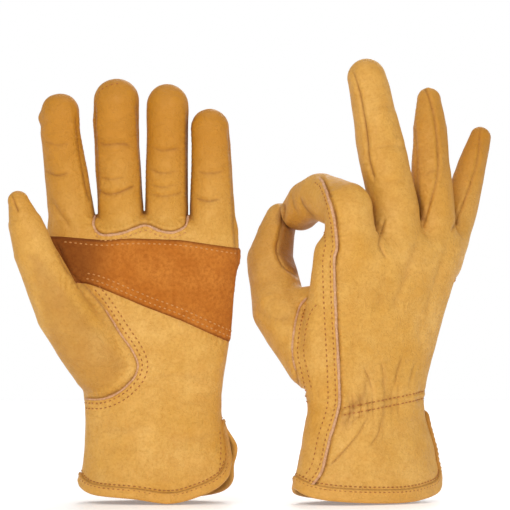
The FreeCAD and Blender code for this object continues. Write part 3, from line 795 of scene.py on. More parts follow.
def relief(side, p, n):
    """How far the leather stands off its smooth form, and its painted shade, 0 to 1, in folds, gaps and
    hollows.
    """
    seed = SEED[side]
    height = 0.65 * noise(p, 27.0, seed) + 0.30 * noise(p, 11.0, seed + 1) + 0.10 * noise(p, 5.0, seed + 2)
    height += 0.035 * noise(p, 2.2, seed + 3)
    flat = p * np.array([0.28, 0.28, 1.0])
    cuff = 1 - ramp(p[:, 2], 46, 78)
    height += cuff * (0.55 * noise(flat, 7.5, seed + 4) + flap(side, p))
    tight = pressed(side, p)
    height = height * (1 - tight) - 0.1 * tight
    # deep is painted shade: dark where two stalls lie against each other
    deep = 0.95 * tight
    fold_over(side, height, deep, p, n)
    stalls = stall_distances(side, p.astype(np.float32))
    s, w, facing = seen(side, "front", p, n)
    # painted shade in the hollows listed in SHADES
    for stall, amount, soft, corners in SHADES[side]:
        painted_hollow_shade = ramp(inside_by(s, w, corners), -0.3, soft) * ramp(facing, -0.3, 0.1)
        painted_hollow_shade *= stalls[stall] < np.minimum(stalls["index" if stall == "thumb" else "thumb"], 6.0)
        if side == "right":
            painted_hollow_shade *= ramp(p[:, 1], 20, 30)
        deep = np.maximum(deep, amount * painted_hollow_shade)
    deep = gather(side, height, deep, p, n)
    return height, np.clip(deep, 0, 1)


# ------------------------------------------------------------------ which body carries what

TIP_START, TIP_END = -7.0, 8.0  # where the leather starts and ends to follow a tip, from the middle joint
UP = np.array([0, 0, 1.0])


def unit(a):
    return np.asarray(a, float) / np.linalg.norm(a)


def hinges(side):
    """For each stall: its joints, the ways along its base and tip, and where the leather bends."""
    found = {}
    for stall in STALL_NAMES:
        knuckle = to_hand(side, JOINTS[f"{side}_{stall}_knuckle"]["pos_m"])
        middle = to_hand(side, JOINTS[f"{side}_{stall}_middle"]["pos_m"])
        base_way = unit(middle - knuckle)
        tip_way = unit(np.array(STALLS[side][stall][0][-1][:3]) - middle)
        start, end, tip_end = -4.0, 13.0, TIP_END
        way, bend, palm = base_way, unit(base_way + tip_way), np.array([0, 1.0, 0])
        if stall == "little":
            start = -1.0
        if stall == "thumb":
            start, end, palm = 8.0, 26.0, np.array([0.8, 0.6, 0])
        if (side, stall) == ("left", "thumb"):
            way, start, end = unit((-0.5, 0.55, 0.67)), 13.5, 25.0
            bend = unit(way + tip_way)
        if (side, stall) == ("right", "index"):
            way, start, end = unit(base_way + UP), 1.0, 10.0
            bend, tip_end = unit(base_way + tip_way + 1.5 * UP), 5.0
            palm = np.array([0, 0.3, -1.0])
        found[stall] = dict(knuckle=knuckle, middle=middle, way=way, start=start, end=end, base_way=base_way,
                            bend=bend, tip_way=tip_way, palm=palm, tip_end=tip_end)
    return found


HINGES = {side: hinges(side) for side in SIDES}
ZONES = ["hand"] + [f"{stall}_{part}" for stall in STALL_NAMES for part in ("base", "tip")]


def zones(side, p):
    """The number in ZONES of each point."""
    found = np.zeros(len(p), int)
    chains = [chain(p.astype(np.float32), *STALLS[side][stall]) for stall in STALL_NAMES]
    nearest = np.argmin(chains, 0)
    for k, stall in enumerate(STALL_NAMES):
        h = HINGES[side][stall]
        base = (nearest == k) & ((p - h["knuckle"]) @ h["way"] > h["start"])
        if stall == "thumb":
            base &= np.min(chains, 0) < 3.0
        found[base] = 1 + 2 * k
        found[base & ((p - h["middle"]) @ h["bend"] > TIP_START)] = 2 + 2 * k
    return found


def fronts(side, p, zone):
    """Whether each point is on the front leather, the palm's side."""
    front = p[:, 1] > 1.2
    for k, stall in enumerate(STALL_NAMES):
        h = HINGES[side][stall]
        parts = ((1 + 2 * k, h["knuckle"], h["base_way"]), (2 + 2 * k, h["middle"], h["tip_way"]))
        for which, at, along in parts:
            mine = zone == which
            way = h["palm"] - along * (along @ h["palm"])
            front[mine] = ((p[mine] - at) @ way) > 0
    return front


def carried(side, obj, zone):
    """Rides obj on the hand's body if its zone is the hand; pieces of other zones are only baked where they
    stand.
    """
    if zone == 0:
        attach(obj, side + "_hand")
        return
    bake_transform(obj)


MATERIALS = {}


def emit(side, name, points, faces, materials, slot, owners=None, whole=False, normals=None, painted_shade=None,
         marks=None, sort=False, nodes=None):
    """Makes pieces of a mesh and puts those of the hand's zone on the hand's body.

    The mesh is cut by zone, and by front and back with sort; with whole it is one piece on the hand.  owners
    are points that stand for the faces where a cut mustn't go through a stitch.  nodes gives the CAD nodes
    that a zone's front or back stands for.
    """
    centre = points[faces].mean(1) if owners is None else owners
    zone = np.zeros(len(faces), int) if whole else zones(side, centre)
    group = zone * 2
    if sort:
        group = group + fronts(side, centre, zone)
    for key in np.unique(group):
        mine = faces[group == key]
        used, local = np.unique(mine, return_inverse=True)
        local = local.reshape(mine.shape)
        z, front = divmod(int(key), 2)
        words = [ZONES[z]] if z else []
        if sort:
            words.append(("front" if z else "palm") if front else "back")
        label = "_".join([side, *words, name])
        order = local if FACES[side] > 0 else local[:, ::-1]
        mesh = make_mesh(label, to_row(side, points[used]), order)
        if marks is not None:
            mesh.polygons.foreach_set("material_index", marks[group == key].astype(np.int32))
        # the painted shade of each point, which the materials darken by
        if painted_shade is not None:
            layer = mesh.attributes.new("painted_shade", "FLOAT", "POINT")
            layer.data.foreach_set("value", painted_shade[used].astype(np.float32))
        if normals is not None:
            mesh.normals_split_custom_set_from_vertices((normals[used] @ axes(side)).tolist())
        for m in materials:
            mesh.materials.append(MATERIALS[m])
        obj = add_object(label, mesh)
        carried(side, obj, z)
        slot(front) if callable(slot) else slot
        replaced = nodes(z, front) if nodes else []
        if replaced:
            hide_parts(*replaced)


# ------------------------------------------------------------------ materials


def srgb(r, g, b):
    return tuple(((c / 255 + 0.055) / 1.055) ** 2.4 if c > 10 else c / 3294.6 for c in (r, g, b)) + (1.0,)


class Nodes:
    """Short hand for wiring a material."""

    def __init__(self, name):
        self.material = bpy.data.materials.new(name)
        self.material.use_nodes = True
        self.tree = self.material.node_tree
        self.shader = self.tree.nodes["Principled BSDF"]
        self.place = self.tree.nodes.new("ShaderNodeTexCoord").outputs["Object"]
        MATERIALS[name] = self.material

    def put(self, socket, value):
        if isinstance(value, bpy.types.NodeSocket):
            self.tree.links.new(value, socket)
        else:
            socket.default_value = value

    def node(self, kind, **inputs):
        node = self.tree.nodes.new("ShaderNode" + kind)
        for name, value in inputs.items():
            self.put(node.inputs[name], value)
        return node

    def noise(self, scale, detail=3.0, rough=0.55):
        node = self.node("TexNoise", Vector=self.place, Scale=scale, Detail=detail, Roughness=rough)
        return node.outputs["Fac"]

    def cells(self, scale):
        return self.node("TexVoronoi", Vector=self.place, Scale=scale).outputs["Distance"]

    def span(self, value, low, high, to_low=0.0, to_high=1.0):
        node = self.node("MapRange", Value=value)
        for key, number in zip(SPAN, (low, high, to_low, to_high)):
            node.inputs[key].default_value = number
        return node.outputs["Result"]

    def mix(self, amount, a, b):
        node = self.node("Mix")
        node.data_type = "RGBA"
        for socket, value in ((0, amount), (6, a), (7, b)):
            self.put(node.inputs[socket], value)
        return node.outputs[2]

    def maths(self, how, a, b=0.0):
        node = self.node("Math")
        node.operation = how
        self.put(node.inputs[0], a)
        self.put(node.inputs[1], b)
        return node.outputs[0]

    def folds(self):
        """The painted shade that emit stored for the point, in folds, gaps and hollows, weakened a little."""
        node = self.node("Attribute")
        node.attribute_name = "painted_shade"
        return self.maths("MULTIPLY", node.outputs["Fac"], 0.8)

    def bump(self, height, strength, distance, normal=None):
        node = self.node("Bump", Strength=strength, Distance=distance, Height=height)
        if normal:
            self.put(node.inputs["Normal"], normal)
        return node.outputs["Normal"]

    def finish(self, colour, rough, normal, sheen, tint, gloss):
        for name, value in (("Base Color", colour), ("Roughness", rough), ("Specular IOR Level", gloss),
                            ("Normal", normal), ("Sheen Weight", sheen), ("Sheen Tint", srgb(*tint)),
                            ("Sheen Roughness", 0.45)):
            self.put(self.shader.inputs[name], value)


def leather(name, base, pale, deep, pore_and_shade):
    """Grain leather: deeper in colour high on the gloves, away from the middle of the pair, with painted
    shade on the right glove's ring and little fingers.
    """
    m = Nodes(name)
    base, pale, deep, pore_and_shade = (srgb(*c) for c in (base, pale, deep, pore_and_shade))
    broad = m.span(m.noise(26, 3), 0.32, 0.68)
    patchy = m.span(m.noise(95, 4, 0.6), 0.35, 0.7)
    # high: deeper colour on the fingers, full on the left glove; past X 0.09 m, on the right glove's ring and
    # little fingers, it is painted shade
    apart = m.node("SeparateXYZ", Vector=m.place)
    across = m.maths("MAXIMUM", m.span(apart.outputs["X"], 0.0, 0.01, 1.0, 0.15),
                     m.span(apart.outputs["X"], 0.09, 0.125, 0.15, 1.0))
    high = m.maths("MULTIPLY", m.span(apart.outputs["Z"], 0.15, 0.215), across)
    broad = m.maths("MULTIPLY", broad, m.maths("SUBTRACT", 1.0, m.maths("MULTIPLY", high, 0.8)))
    colour = m.mix(broad, base, pale)
    colour = m.mix(m.maths("MULTIPLY", high, 0.85), colour, deep)
    colour = m.mix(m.maths("MULTIPLY", patchy, 0.3), colour, deep)
    colour = m.mix(m.span(m.noise(620, 4, 0.65), 0.42, 0.7, 0.0, 0.4), colour, deep)
    colour = m.mix(m.span(m.cells(1500), 0.0, 0.16, 0.22, 0.0), colour, pore_and_shade)
    # painted shade in folds, gaps and hollows, from the stored attribute
    colour = m.mix(m.folds(), colour, pore_and_shade)
    grain = m.maths("ADD", m.cells(900), m.maths("MULTIPLY", m.noise(2300, 2), 0.6))
    normal = m.bump(grain, 0.45, 0.0002)
    lines = m.maths("ABSOLUTE", m.maths("SUBTRACT", m.noise(150, 6, 0.6), 0.5))
    normal = m.bump(m.span(lines, 0.0, 0.06), 0.5, 0.0004, normal)
    normal = m.bump(m.noise(260, 5, 0.62), 0.6, 0.0006, normal)
    rough = m.span(m.noise(160, 3), 0.3, 0.7, 0.46, 0.62)
    m.finish(colour, rough, normal, 0.05, (255, 225, 160), 0.34)


def plain(name, mottle, limits, dark, pale, rough, nap, bump, sheen, tint, gloss):
    """Two colours mottled by one noise, under a nap of another: noise settings, then strength and depth."""
    m = Nodes(name)
    colour = m.mix(m.span(m.noise(*mottle), *limits), srgb(*dark), srgb(*pale))
    m.finish(colour, rough, m.bump(m.noise(*nap), *bump), sheen, tint, gloss)


leather("grain", (211, 156, 64), (223, 173, 90), (184, 120, 20), (118, 58, 16))
leather("rolled", (212, 154, 64), (222, 168, 82), (192, 132, 44), (120, 64, 22))
plain("flesh_side", (60, 4), (0.3, 0.7), (196, 138, 74), (216, 164, 104), 0.9,
      (1400, 4, 0.7), (0.6, 0.0005), 0.5, (240, 200, 150), 0.2)

m = Nodes("suede")
colour = m.mix(m.span(m.noise(55, 4, 0.6), 0.32, 0.68), srgb(178, 102, 32), srgb(198, 124, 50))
colour = m.mix(m.span(m.noise(520, 4, 0.7), 0.4, 0.7, 0, 0.7), colour, srgb(150, 78, 22))
# painted shade in folds and along the patch's edge, and the thumb's painted shadow
colour = m.mix(m.folds(), colour, srgb(96, 46, 18))
normal = m.bump(m.noise(1700, 4, 0.75), 0.5, 0.0005)
normal = m.bump(m.noise(330, 4, 0.6), 0.4, 0.0006, normal)
m.finish(colour, 0.93, normal, 0.35, (235, 160, 90), 0.12)

plain("raw_edge", (700, 3, 0.6), (0.3, 0.7), (188, 136, 94), (218, 174, 136), 0.88,
      (1500, 4, 0.7), (0.7, 0.0004), 0.3, (255, 225, 205), 0.2)
plain("dark_edge", (700, 3, 0.6), (0.3, 0.7), (150, 78, 44), (198, 122, 84), 0.9,
      (1500, 4, 0.7), (0.7, 0.0004), 0.3, (240, 190, 150), 0.2)
plain("thread", (2500, 2), (0.35, 0.65), (150, 88, 36), (186, 120, 60), 0.62,
      (6000, 2), (0.6, 0.0002), 0.2, (230, 180, 120), 0.3)
plain("pale_thread", (2500, 2), (0.35, 0.65), (190, 128, 66), (212, 156, 92), 0.62,
      (6000, 2), (0.6, 0.0002), 0.2, (240, 200, 150), 0.3)

m = Nodes("woven")
wave = m.node("TexWave", Vector=m.place, Scale=420, Distortion=0.6)
wave.bands_direction = "Z"
colour = m.mix(wave.outputs["Fac"], srgb(214, 208, 196), srgb(238, 234, 226))
colour = m.mix(m.span(m.cells(1300), 0.1, 0.5), colour, srgb(200, 194, 182))
m.finish(colour, 0.85, m.bump(wave.outputs["Fac"], 0.6, 0.0004), 0.4, (255, 255, 250), 0.2)

# ------------------------------------------------------------------ the leather of each glove


def leather_nodes(side):
    def nodes(zone, front):
        if zone == 0:
            return [f"{side}_palm_leather", f"{side}_thumb_root"] if front else [f"{side}_back_leather"]
        return [f"{side}_{ZONES[zone]}_{'front' if front else 'back'}"]

    return nodes


def leather_slot(front):
    return "palm_leather" if front else "back_leather"


def above_hem(side, points, faces, height):
    """The faces that stand this far or more above the cuff's edge."""
    clear = points[:, 2] > hem_height(side, points) + height
    return faces[clear[faces].all(1)]


SKINS = {}
for side in SIDES:
    points, faces = surface_net(side, CELL, OUTER_GAP)
    points, faces = subdivided(settle(side, points, 2), faces)
    points = settle(side, points, 1)
    normals = gradient(side, points)
    height, painted_shade = relief(side, points, normals)
    points = points + normals * height[:, None]
    normals = vertex_normals(points, faces)
    faces = above_hem(side, points, faces, ROLL + 0.4)
    SKINS[side] = (points, faces, normals, painted_shade)

    # the flesh side, inside
    inner, inner_faces = surface_net(side, INNER_CELL, GAP, INNER_DEEP)
    inner = settle(side, inner, 1, INNER_DEEP)
    inner_faces = above_hem(side, inner, inner_faces, ROLL - 1.0)[:, ::-1]
    emit(side, "skin", np.vstack([points, inner]), np.vstack([faces, inner_faces + len(points)]),
         ["grain", "flesh_side"], leather_slot, sort=True, nodes=leather_nodes(side),
         normals=np.vstack([normals, vertex_normals(inner, inner_faces)]),
         painted_shade=np.concatenate([painted_shade, np.zeros(len(inner))]),
         marks=np.repeat([0, 1], [len(faces), len(inner_faces)]))

# ------------------------------------------------------------------ suede patch

# Corners of the patch as (u, w).
PATCHES = {
    "left": [(-70, 131), (-40, 129.5), (-32, 127), (-6, 116), (15, 108), (43, 95), (70, 84), (70, 149),
             (48.7, 150), (15, 155), (-13.5, 156), (-31, 155), (-55, 157), (-70, 157)],
    "right": [(-24, 115.5), (-4, 112), (30, 104), (60, 92), (80, 90), (80, 143), (60, 148), (30, 150),
              (4, 151), (-24, 147.5)],
}
PATCH_UP, PATCH_EDGE_UP, PATCH_DOWN = 1.0, 0.35, 0.9  # how far the suede stands off the leather, and goes in
SNAP = 1.3  # points this near the outline of the patch are moved onto it


def rim_edges(faces, count):
    """The edges of quads that only one face has, as they run in it."""
    pairs = np.concatenate([faces[:, [k, (k + 1) % 4]] for k in range(4)])
    keys = np.sort(pairs, 1)
    _, first, times = np.unique(keys[:, 0] * count + keys[:, 1], return_index=True, return_counts=True)
    return pairs[first[times == 1]]


PATCH_SKINS = {}
for side in SIDES:
    points, faces, normals, painted_shade = SKINS[side]
    near = np.nonzero((points[:, 1] > 0.5) & (points[:, 2] > 80) & (points[:, 2] < 160))[0]
    near = near[np.abs(hand_distance(side, points[near].astype(np.float32))) < 3.2]
    deep = np.full(len(points), -50.0)
    deep[near] = inside_by(points[near, 0], points[near, 2], PATCHES[side])
    patch = faces[(deep[faces] > -0.35).all(1)]
    used, local = np.unique(patch, return_inverse=True)
    local = local.reshape(patch.shape)
    base, out, d = points[used], normals[used], deep[used]
    rim = rim_edges(local, len(used))
    border = np.unique(rim)
    slide = np.zeros((len(used), 3))
    for axis in (0, 2):
        moved = base[border].copy()
        moved[:, axis] += 0.1
        slide[border, axis] = (inside_by(moved[:, 0], moved[:, 2], PATCHES[side]) - d[border]) / 0.1
    slide *= -np.where(np.abs(d) < SNAP, d, 0)[:, None]
    base = base + slide - out * (slide * out).sum(1, keepdims=True)
    edge_in = ramp(d, 0.0, 1.6)
    edge_in[border] = 0
    rise = PATCH_EDGE_UP + (PATCH_UP - PATCH_EDGE_UP) * edge_in + 0.10 * noise(base, 4.0, 31)
    top = base + out * rise[:, None]
    low = base - out * PATCH_DOWN
    rim_faces = np.stack([rim[:, 1], rim[:, 0], rim[:, 0] + len(used), rim[:, 1] + len(used)], 1)
    # painted shade: the folds' shade, more along the patch's edge, and on the left glove a painted shadow of
    # the thumb over the patch's end
    shade = painted_shade[used] * 0.8 + 0.75 * (1 - ramp(d, 0.0, 2.2))
    if side == "left":
        shade = shade + 0.75 * (1 - ramp(base[:, 0], -44, -20)) * ramp(base[:, 2], 120, 135)
    emit(side, "palm_patch_suede", np.vstack([top, low]), np.vstack([local, rim_faces]),
         ["suede", "dark_edge"], "suede", whole=True, painted_shade=np.clip(np.concatenate([shade, shade]), 0, 1),
         marks=np.repeat([0, 1], [len(local), len(rim_faces)]),
         nodes=lambda z, front: [f"{side}_palm_patch"])
    PATCH_SKINS[side] = (top, local)

# ------------------------------------------------------------------ raw edges and rows of thread

TREES = {}
for side in SIDES:
    points, faces = SKINS[side][:2]
    top, local = PATCH_SKINS[side]
    every = np.vstack([points, top]) @ axes(side)
    polygons = np.vstack([faces, local + len(points)])
    TREES[side] = BVHTree.FromPolygons(every.tolist(), polygons.tolist())


def lengths(line):
    """How far along the line each of its points is."""
    return np.concatenate([[0], np.cumsum(np.linalg.norm(np.diff(line, axis=0), axis=1))])


def points_at(at, step, line):
    return np.stack([np.interp(at, step, column) for column in line.T], 1)


def resampled(line, gap):
    step = lengths(line)
    return points_at(np.linspace(0, step[-1], max(2, int(step[-1] / gap) + 1)), step, line)


def laid(side, view, line, gap):
    """Points at equal gaps on the leather under a line: place, normal, way along, all in the hand frame."""
    across, look = view_of(side, view)
    places, ups = [], []
    for s, w in resampled(smooth_line(line, 8), 0.5):
        start = across * s + np.array([0, 0, w]) - look * 200
        hit, normal, _, _ = TREES[side].ray_cast(Vector(start), Vector(look))
        if hit is not None:
            places.append(tuple(hit))
            ups.append(tuple(normal))
    turn = axes(side).T
    places, ups = np.array(places) @ turn, np.array(ups) @ turn
    breaks = np.nonzero(np.linalg.norm(np.diff(places, axis=0), axis=1) > 3.0)[0] + 1
    keep = max(np.split(np.arange(len(places)), breaks), key=len)
    places, ups = places[keep], ups[keep]
    step = lengths(places)
    at = np.arange(gap / 2, step[-1], gap)
    spread = points_at(at, step, places)
    up = points_at(at, step, softened(ups, 6, 2.5))
    up *= np.sign((up * gradient(side, spread)).sum(1, keepdims=True) + 1e-9)
    return spread, unit_rows(up), unit_rows(np.gradient(spread, axis=0))


def beside(line, offset):
    """The line moved to its left by offset, in its own plane."""
    line = smooth_line(line, 4)
    way = unit_rows(np.gradient(line, axis=0))
    return line + np.stack([-way[:, 1], way[:, 0]], 1) * offset


def around(sides):
    return np.arange(sides) * 2 * np.pi / sides


# Rings of a stitch: how far along it, how thick, how high.
STITCH_RINGS = [(-0.5, 0.35, -0.55), (-0.36, 0.95, 0.0), (0.0, 1.05, 0.12), (0.36, 0.95, 0.0),
                (0.5, 0.35, -0.55)]


def stitches(place, up, along, length=1.6, radius=0.36, lift=0.06):
    """A short thread at each place, sunk into the leather at both ends: points, faces, owners."""
    side_way = np.cross(along, up)
    sides = 6
    points, template = [], []
    for a, r, z in STITCH_RINGS:
        for angle in around(sides):
            points.append(place + along * (a * length) + side_way * (radius * r * math.cos(angle))
                          + up * (lift + z * radius * 1.6 + radius * r * math.sin(angle)))
    points = np.stack(points, 1)
    for k in range(len(STITCH_RINGS) - 1):
        for j in range(sides):
            here, there = k * sides, (k + 1) * sides
            n = (j + 1) % sides
            template.append((here + j, here + n, there + n, there + j))
    for a, b, c, d, e, f in (range(sides), range(points.shape[1] - 1, points.shape[1] - 1 - sides, -1)):
        template += [(d, c, b, a), (f, e, d, a)]
    template = np.array(template)
    faces = (template[None] + (np.arange(len(place)) * points.shape[1])[:, None, None]).reshape(-1, 4)
    return points.reshape(-1, 3), faces, np.repeat(place, len(template), 0)


def ring_faces(count, sides, closed):
    """Quads between neighbouring rings of points, each ring with its sides in turn."""
    rows = np.arange(count if closed else count - 1)
    ahead = (rows + 1) % count
    faces = []
    for j in range(sides):
        k = (j + 1) % sides
        faces.append(np.stack([rows * sides + j, rows * sides + k, ahead * sides + k, ahead * sides + j], 1))
    return np.concatenate(faces)


def strip(place, up, along, wide, tall, seed, lift=0.2):
    """A flat strip with rounded sides swept along the places, thin at its ends."""
    side_way = np.cross(along, up)
    sides = 10
    wobble = 1 + 0.25 * noise(place, 3.0, seed)
    shift = 0.25 * noise(place, 5.0, seed + 1)
    step = np.arange(len(place), dtype=float)
    wobble = wobble * np.clip(np.minimum(step, step[::-1]) / 4 + 0.25, 0, 1)
    rings = []
    for angle in around(sides):
        c, q = (math.copysign(abs(x) ** 0.7, x) for x in (math.cos(angle), math.sin(angle)))
        rings.append(place + side_way * (wide * wobble * c + shift)[:, None]
                     + up * (lift + tall * wobble * q)[:, None])
    return np.stack(rings, 1).reshape(-1, 3), ring_faces(len(place), sides, False)


def sew(side, name, runs, thread="thread", **more):
    """One piece of several runs of stitches."""
    shift = np.cumsum([0] + [len(points) for points, _, _ in runs[:-1]])
    emit(side, name, np.vstack([points for points, _, _ in runs]),
         np.vstack([faces + k for (_, faces, _), k in zip(runs, shift)]), [thread], "thread",
         owners=np.vstack([owners for _, _, owners in runs]), **more)


# name, view, line, half width, half height, the CAD node it stands for
EDGES = {
    "left": [
        ("finger_welt_edge", "front", [(-35.2, 169.5), (-36.3, 163.5), (-31.5, 158), (-20, 158.8), (-11, 162),
                                       (-5, 163.2), (3, 160.3), (11, 159.3), (18, 163), (19.2, 169.5)],
         0.7, 0.6, "finger_welt"),
        ("thumb_edge", "front", [(-29, 114.5), (-20, 99.5), (-12.2, 88.5), (-9.8, 81), (-12.8, 73.4),
                                 (-20.6, 66), (-31, 61.6), (-42, 61.2)], 0.55, 0.5, None),
        ("back_seam_edge", "back", [(-26, 7), *LEFT_BACK[1:-1], (-52, 214)], 0.95, 0.75, "back_seam"),
    ],
    "right": [
        ("finger_welt_edge", "palm", RIGHT_WELT, 0.95, 0.7, "finger_welt"),
        ("back_seam_edge", "front", [(-34.0, 9), (-31, 13), (-26.1, 21), (-22, 38), (-16.6, 57), (-16.3, 72),
                                     (-17.1, 90), (-18.6, 120), (-19.1, 143), (-17.6, 152), (-19.6, 170),
                                     (-24.5, 186), (-27.4, 191)], 0.8, 0.7, "back_seam"),
        ("thumb_edge", "front", [(-34.5, 121), *RIGHT_THUMB[1:5], (-41, 78)], 0.7, 0.5, None),
    ],
}
# name, view, line, offsets to its left
ROWS = {
    "left": [
        ("thumb_stitches", "front", [(-38, 124.5), *LEFT_THUMB[3:]], (3.0, 6.2)),
        ("patch_top_stitches", "front", [(-54, 154), (-31, 152), (-13.5, 153), (15, 152), (47, 147)], (0,)),
        ("patch_bottom_stitches", "front", [(-41, 132.5), (-31, 130), (-5, 119), (16, 111), (46, 97)],
         (0, 3.2)),
        ("welt_stitches", "front", [(-36, 161), (-31.5, 155), (-20, 156), (-11, 159), (-5, 160.5), (3, 157.5),
                                    (11, 156.5), (19, 160)], (0,)),
        ("tip_stitches", "front", [(-33.6, 240.5), (-30.0, 244.3), (-25, 246.3), (-20, 246.8)], (0,)),
        ("back_seam_stitches", "back", [(-26, 9), *LEFT_BACK[1:5], (-49, 195)], (3.2, 7.0)),
        ("side_stitches", "front", [(39.5, 12), (41.0, 22), (41.5, 34), (40.8, 44)], (0, 3.0)),
    ],
    "right": [
        ("back_seam_stitches", "front", [(-31.5, 11), *RIGHT_BACK[2:-1], (-28, 191)], (3.2, 7.6)),
        ("thumb_stitches", "front", [(-34.0, 122), *RIGHT_THUMB[1:-1], (-38.5, 66)], (3.0, 6.6)),
        ("patch_top_stitches", "palm", [(-4, 147.5), (10, 148), (30, 147), (54, 145.5)], (0,)),
        ("patch_bottom_stitches", "palm", [(-14, 117.5), (-4, 115), (30, 107), (46, 101)], (0, 3.2)),
        ("welt_stitches", "palm", [(7, 153), (14, 149.8), (28, 151), (36, 149.8), (50, 150), (59, 153)],
         (0,)),
        ("palm_thumb_stitches", "palm", RIGHT_BALL, (-3.0, -6.2)),
    ],
}
PITCH, GATHER_PITCH, EDGE_PITCH = 3.1, 2.9, 0.7
LONG_STITCH = 1.8

for side in SIDES:
    for name, view, line, wide, tall, node in EDGES[side]:
        points, faces = strip(*laid(side, view, line, EDGE_PITCH), wide, tall, 41)
        emit(side, name, points, faces, ["raw_edge"], "raw_edge",
             nodes=lambda z, front: [f"{side}_{node}"] if node and z == 0 else [])
    for name, view, line, offsets in ROWS[side]:
        runs = [stitches(*laid(side, view, beside(line, offset), PITCH)) for offset in offsets]
        sew(side, name, runs, "pale_thread" if name.startswith(("patch", "welt")) else "thread")
    view, one, two, drop = GATHERS[side]
    lines = [resampled(np.array([one, two]) - np.array([0, down]), 8.0) for down in (0, drop)]
    runs = [stitches(*laid(side, view, line, GATHER_PITCH), length=LONG_STITCH) for line in lines]
    sew(side, "wrist_stitches", runs, nodes=lambda z, front: [f"{side}_wrist_thread"])

# ------------------------------------------------------------------ hem binding and elastic

HEM_STEP = 0.6  # gap between the rings of the binding
HEM_SOFT = 3  # how many rings the binding's turns are softened over
LAP_AT = 9.0  # where the end of the binding laps over its start
WRIST = 57.0  # height of the elastic


def on_cuff(side, angle, w):
    """The point of the cuff at an angle and a height."""
    cu, cv, a, b, _ = section(side, w)
    t = np.radians(angle)
    p = np.stack([cu + a * np.cos(t), cv + b * np.sin(t), w], 1)
    for _ in range(3):
        g = gradient(side, p)
        g[:, 2] = 0
        p = p - g * distance(side, p)[:, None]
    return p


def profile(band):
    """The binding's section: out from the leather, up from its edge."""
    return [(0.1, band + 0.25), (0.75, band - 0.1), (1.05, band - 0.9), (1.0, band * 0.62),
            (1.1, band * 0.35), (1.45, 0.6), (1.6, -0.4), (1.25, -1.4), (0.4, -2.0), (-0.6, -2.05),
            (-1.6, -1.5), (-2.1, -0.4), (-2.15, 1.0), (-2.0, band * 0.5), (-1.7, band * 0.8),
            (-0.8, band * 0.9)]


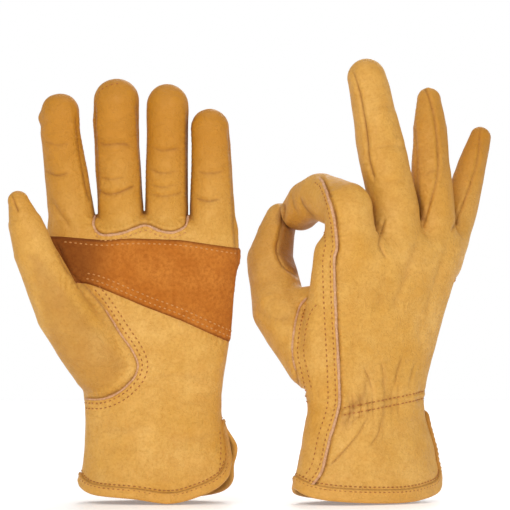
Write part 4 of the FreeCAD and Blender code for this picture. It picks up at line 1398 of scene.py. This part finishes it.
def binding(side):
    """The rolled strip round the cuff and up both sides of its slit, with two rows of stitches."""
    band, roll = BAND[side], profile(BAND[side])
    line = smooth_line(HEMS[side], 24)
    path = on_cuff(side, line[:, 0], line[:, 1] + ROLL)
    path = resampled(np.vstack([path, path[:1]]), HEM_STEP)[:-1]
    path = softened(path, 3 * HEM_SOFT, HEM_SOFT, "wrap")
    up = gradient(side, path)
    up[:, 2] = 0
    up = unit_rows(softened(unit_rows(up), 3 * HEM_SOFT, HEM_SOFT, "wrap"))
    rise = unit_rows(np.cross(up, unit_rows(np.roll(path, -1, 0) - np.roll(path, 1, 0))))
    if rise[len(rise) // 3][2] < 0:
        rise = -rise
    lump, _ = relief(side, path, up)
    run = np.arange(len(path)) * HEM_STEP
    reach = np.exp(-np.clip((LAP_AT - path[:, 0]) / 5.0, 0, 9))
    lap = 0.8 * ((path[:, 1] > 0) & (path[:, 0] < LAP_AT)) * reach
    columns, painted_shades = [], []
    for out, high in roll:
        outer = out > 0
        near_row = math.exp(-(((high - band + 0.8) / 1.1) ** 2)) * outer
        dimple = 0.22 * np.sin(2 * np.pi * run / PITCH) * near_row
        rough = 0.16 * noise(path + rise * high, 4.0, 51) * outer
        away = out + dimple + rough + lump + (lap if outer else 0)
        columns.append(path + up * away[:, None] + rise * high)
        # painted shade along the top of the binding and on its inside
        painted_shades.append(0.5 * math.exp(-(((high - band) / 0.5) ** 2)) if outer else 0.3)
    points = np.stack(columns, 1)
    points[..., 2] = np.maximum(points[..., 2], 0.05)
    points = points.reshape(-1, 3)
    count = len(path)
    faces = ring_faces(count, len(roll), True)[:, [0, 3, 2, 1]]
    middle = points[faces].mean(1)
    a, b, c, d = (points[faces[:, k]] for k in range(4))
    core = np.repeat(path[None], len(roll), 0).reshape(-1, 3)
    if ((middle - core) * np.cross(c - a, d - b)).sum() < 0:
        faces = faces[:, ::-1]
    emit(side, "hem_roll", points, faces, ["rolled"], "binding", whole=True, painted_shade=np.tile(painted_shades, count),
         nodes=lambda z, front: [f"{side}_hem_binding"])

    runs = []
    above = 1.5 if side == "right" else 1.3
    for offset, sunk in ((band + above, 0.05), (band - above, 0.75)):
        place = path + rise * offset + up * (sunk + lump)[:, None]
        step = np.arange(0, count, int(round(PITCH / HEM_STEP)))
        step = step[rise[step][:, 2] > 0.4]
        if offset > band:
            near = [TREES[side].find_nearest(Vector(q)) for q in place @ axes(side)]
            place = np.array([tuple(hit[0]) for hit in near]) @ axes(side).T
            step = step[np.array([hit[3] for hit in near])[step] < 2.0]
        way = unit_rows(np.roll(place, -1, 0) - np.roll(place, 1, 0))
        runs.append(stitches(place[step], up[step], way[step], length=LONG_STITCH))
    sew(side, "hem_stitches", runs, whole=True, nodes=lambda z, front: [f"{side}_hem_thread"])


def elastic(side):
    """The ribbed tape inside the back of the wrist."""
    angle = np.linspace(212, 328, 190)
    place = on_cuff(side, angle, np.full(len(angle), WRIST))
    up = gradient(side, place)
    ribs = 0.18 * np.sin(angle * 4.0)
    place = place - up * (WALL + 2.6 - ribs)[:, None]
    points, faces = strip(place, up, unit_rows(np.gradient(place, axis=0)), 3.4, 0.42, 61, lift=0.0)
    emit(side, "wrist_elastic_tape", points, faces, ["woven"], "elastic", whole=True,
         nodes=lambda z, front: [f"{side}_wrist_elastic"])


for side in SIDES:
    binding(side)
    elastic(side)

# ------------------------------------------------------------------ floor

FLOOR = 1.3
corners = [(-FLOOR, -FLOOR, 0), (FLOOR, -FLOOR, 0), (FLOOR, FLOOR, 0), (-FLOOR, FLOOR, 0)]
floor = add_object("floor", make_mesh("floor", corners, [(0, 1, 2, 3)]))
pale = bpy.data.materials.new("floor")
pale.use_nodes = True
shader = pale.node_tree.nodes["Principled BSDF"]
shader.inputs["Base Color"].default_value = (0.97, 0.97, 0.97, 1)
shader.inputs["Emission Color"].default_value = (1, 1, 1, 1)
shader.inputs["Emission Strength"].default_value = 0.22
floor.data.materials.append(pale)

bpy.context.view_layer.update()
